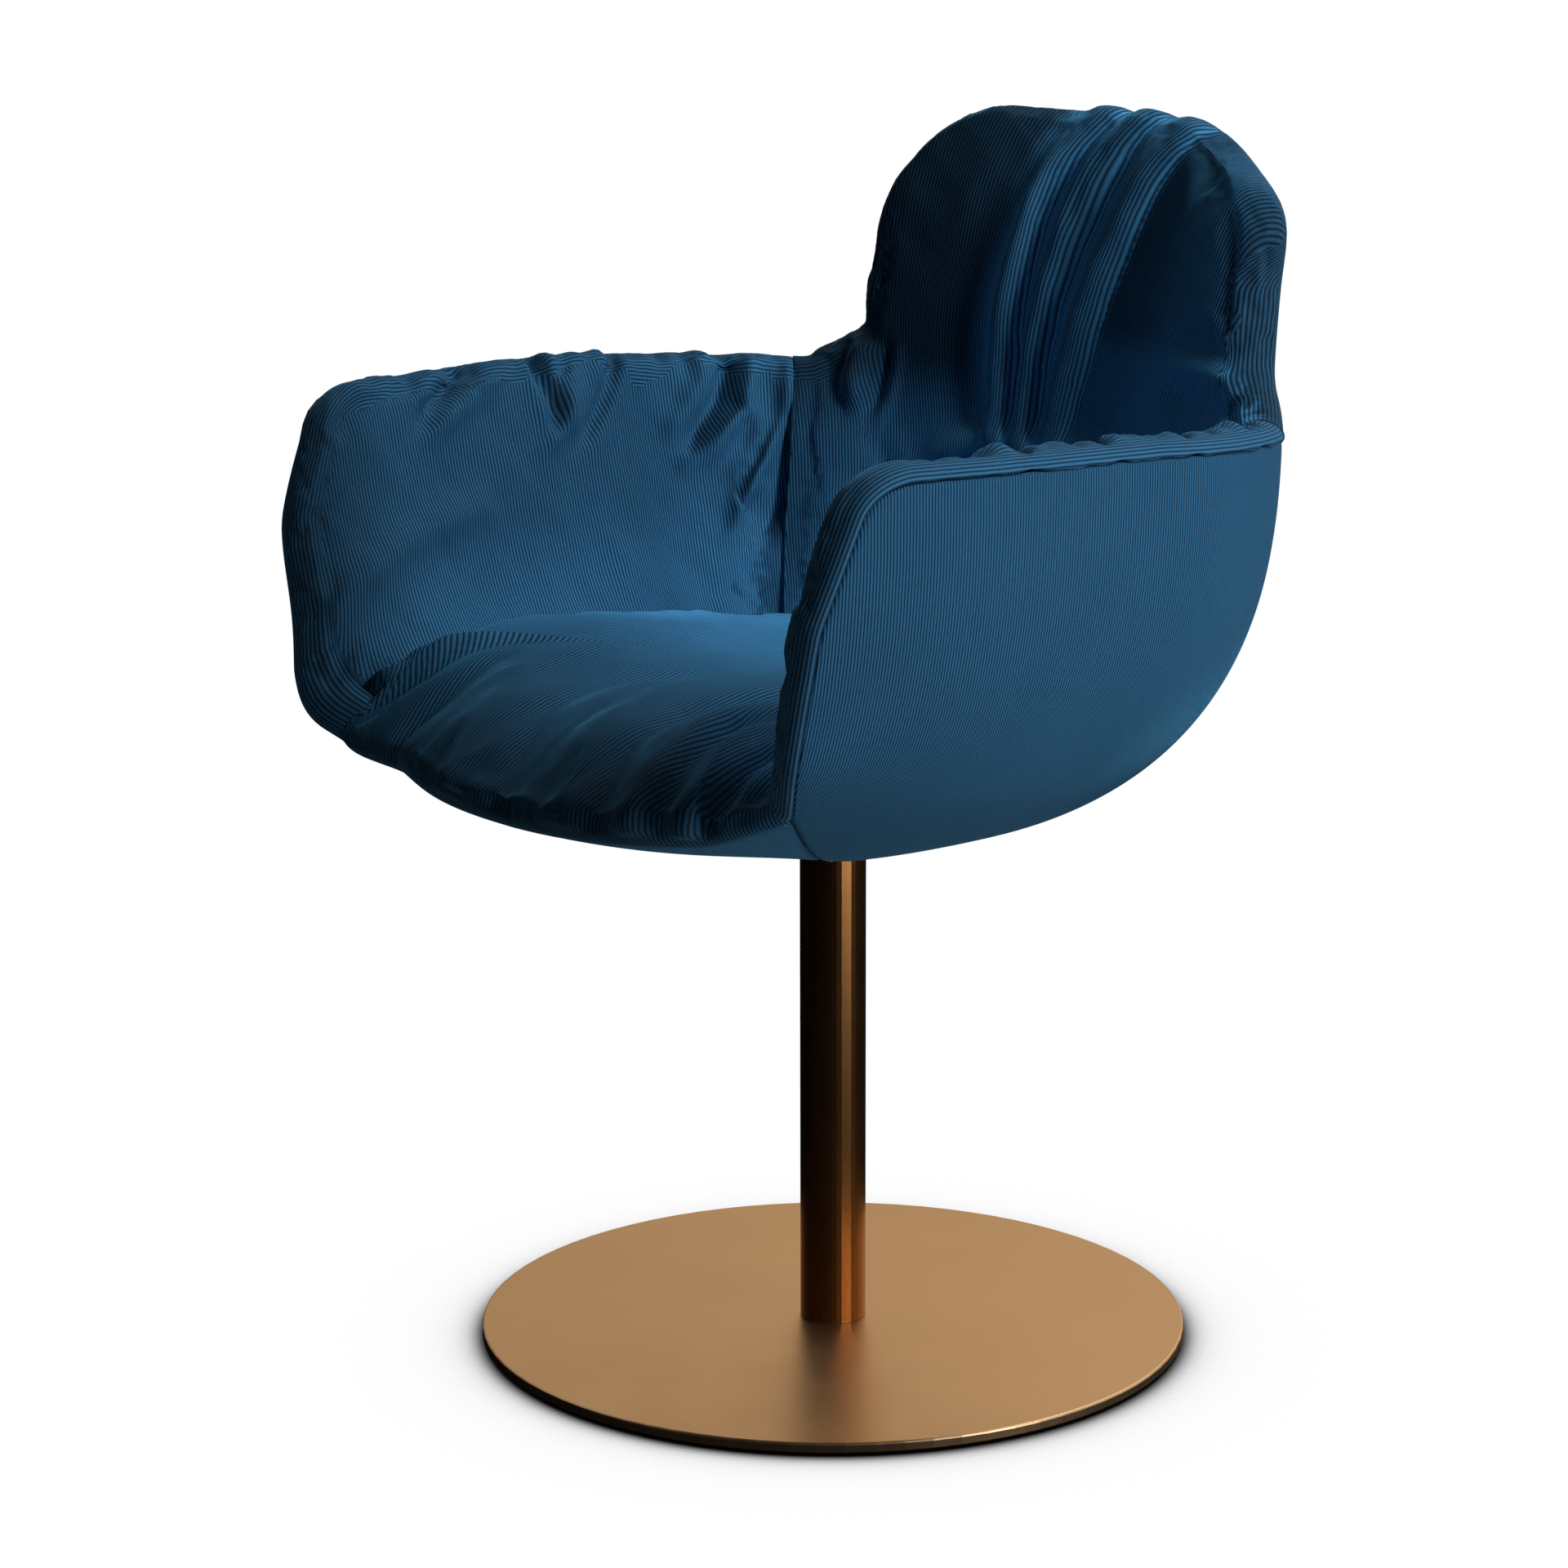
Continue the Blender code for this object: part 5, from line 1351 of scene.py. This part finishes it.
def floor_material():
    """Matt floor. The camera sees it as white as the background, but for the shadow round the plate."""
    material = bpy.data.materials.new("studio_floor")
    material.use_nodes = True
    tree = material.node_tree
    shader = tree.nodes["Principled BSDF"]
    path = new_node(tree, "LightPath")
    near = new_node(tree, "AmbientOcclusion", samples=12)
    near.inputs["Distance"].default_value = SHADOW_REACH
    open_share = math_node(tree, "POWER", near.outputs["AO"], SHADOW_DEPTH)
    mirrored = mix_colours(tree, path.outputs["Is Glossy Ray"], (0.60, 0.60, 0.60), (0.02, 0.02, 0.02))
    tree.links.new(mix_colours(tree, path.outputs["Is Camera Ray"], mirrored, (0.0, 0.0, 0.0)),
                   shader.inputs["Base Color"])
    shader.inputs["Roughness"].default_value = 1.0
    shader.inputs["Specular IOR Level"].default_value = 0.0
    shader.inputs["Emission Color"].default_value = (1.0, 1.0, 1.0, 1.0)
    tree.links.new(math_node(tree, "MULTIPLY", path.outputs["Is Camera Ray"], open_share),
                   shader.inputs["Emission Strength"])
    return material


bpy.ops.mesh.primitive_plane_add(size=60, location=(0, 0, 0))
floor = bpy.context.object
floor.name = "studio_floor"
floor.data.materials.append(floor_material())


def lamp(name, place, aim, size, watts):
    data = bpy.data.lights.new(name, "AREA")
    data.shape = "RECTANGLE"
    data.size, data.size_y = size
    data.energy = watts
    thing = bpy.data.objects.new(name, data)
    bpy.context.collection.objects.link(thing)
    thing.location = place
    thing.rotation_euler = (Vector(aim) - Vector(place)).to_track_quat("-Z", "Y").to_euler()
    thing.visible_camera = False


lamp("lamp_key", (2.0, 0.40, 2.25), (0, 0, 0.5), (0.8, 0.8), 45)
lamp("lamp_side", (1.5, 0.16, 0.42), (0, 0, 0.42), (0.42, 0.80), 8.0)
lamp("lamp_rear", (-0.6, 1.6, 2.9), (0, 0, 0.5), (1.2, 1.0), 16)

CAMERA_TURN = radians(47.5)
AMBIENT = 0.06


def studio_world():
    """White where the camera sees it. Cloth gets a dim even light, and metal sees a bright wall behind the
    chair that is darker on one side and low down."""
    world = bpy.data.worlds.new("studio")
    world.use_nodes = True
    tree = world.node_tree
    background = tree.nodes["Background"]
    path = new_node(tree, "LightPath")
    direction = new_node(tree, "SeparateXYZ")
    tree.links.new(new_node(tree, "TexCoord").outputs["Generated"], direction.inputs[0])
    away = math_node(tree, "MULTIPLY_ADD", direction.outputs[0], -sin(CAMERA_TURN),
                     math_node(tree, "MULTIPLY", direction.outputs[1], cos(CAMERA_TURN)))
    across = math_node(tree, "MULTIPLY_ADD", direction.outputs[0], cos(CAMERA_TURN),
                       math_node(tree, "MULTIPLY", direction.outputs[1], sin(CAMERA_TURN)))
    behind = math_node(tree, "MULTIPLY_ADD", away, 1.2, 0.40, clamp=True)
    wall = math_node(tree, "MULTIPLY", behind, math_node(tree, "MULTIPLY_ADD", across, 1.4, 1.20))
    above = math_node(tree, "MULTIPLY_ADD", direction.outputs[2], 6.0, 0.3, clamp=True)
    mirrored = math_node(tree, "MULTIPLY_ADD", math_node(tree, "MULTIPLY", wall, above), 0.92, 0.026)
    ambient = math_node(tree, "MULTIPLY_ADD", path.outputs["Is Glossy Ray"],
                        math_node(tree, "SUBTRACT", mirrored, AMBIENT), AMBIENT)
    seen = math_node(tree, "MAXIMUM", path.outputs["Is Camera Ray"], path.outputs["Is Transmission Ray"])
    tree.links.new(math_node(tree, "MAXIMUM", seen, ambient), background.inputs["Strength"])
    background.inputs["Color"].default_value = (1.0, 1.0, 1.0, 1.0)
    return world


bpy.context.scene.world = studio_world()

CAMERA_DISTANCE = 3.00537
CAMERA_HEIGHT = 1.09839
CAMERA_TILT = radians(12.02655)
SENSOR = 36.0
LENS = 97.745
PICTURE_SHIFT = (-0.0312, -0.0385)
camera_data = bpy.data.cameras.new("camera")
camera_data.sensor_width = SENSOR
camera_data.lens = LENS
camera_data.shift_x, camera_data.shift_y = PICTURE_SHIFT
camera = bpy.data.objects.new("camera", camera_data)
bpy.context.collection.objects.link(camera)
camera.location = (CAMERA_DISTANCE * sin(CAMERA_TURN), -CAMERA_DISTANCE * cos(CAMERA_TURN), CAMERA_HEIGHT)
camera.rotation_euler = (pi / 2 - CAMERA_TILT, 0, CAMERA_TURN)
bpy.context.scene.camera = camera
bpy.context.scene.view_settings.view_transform = "Standard"
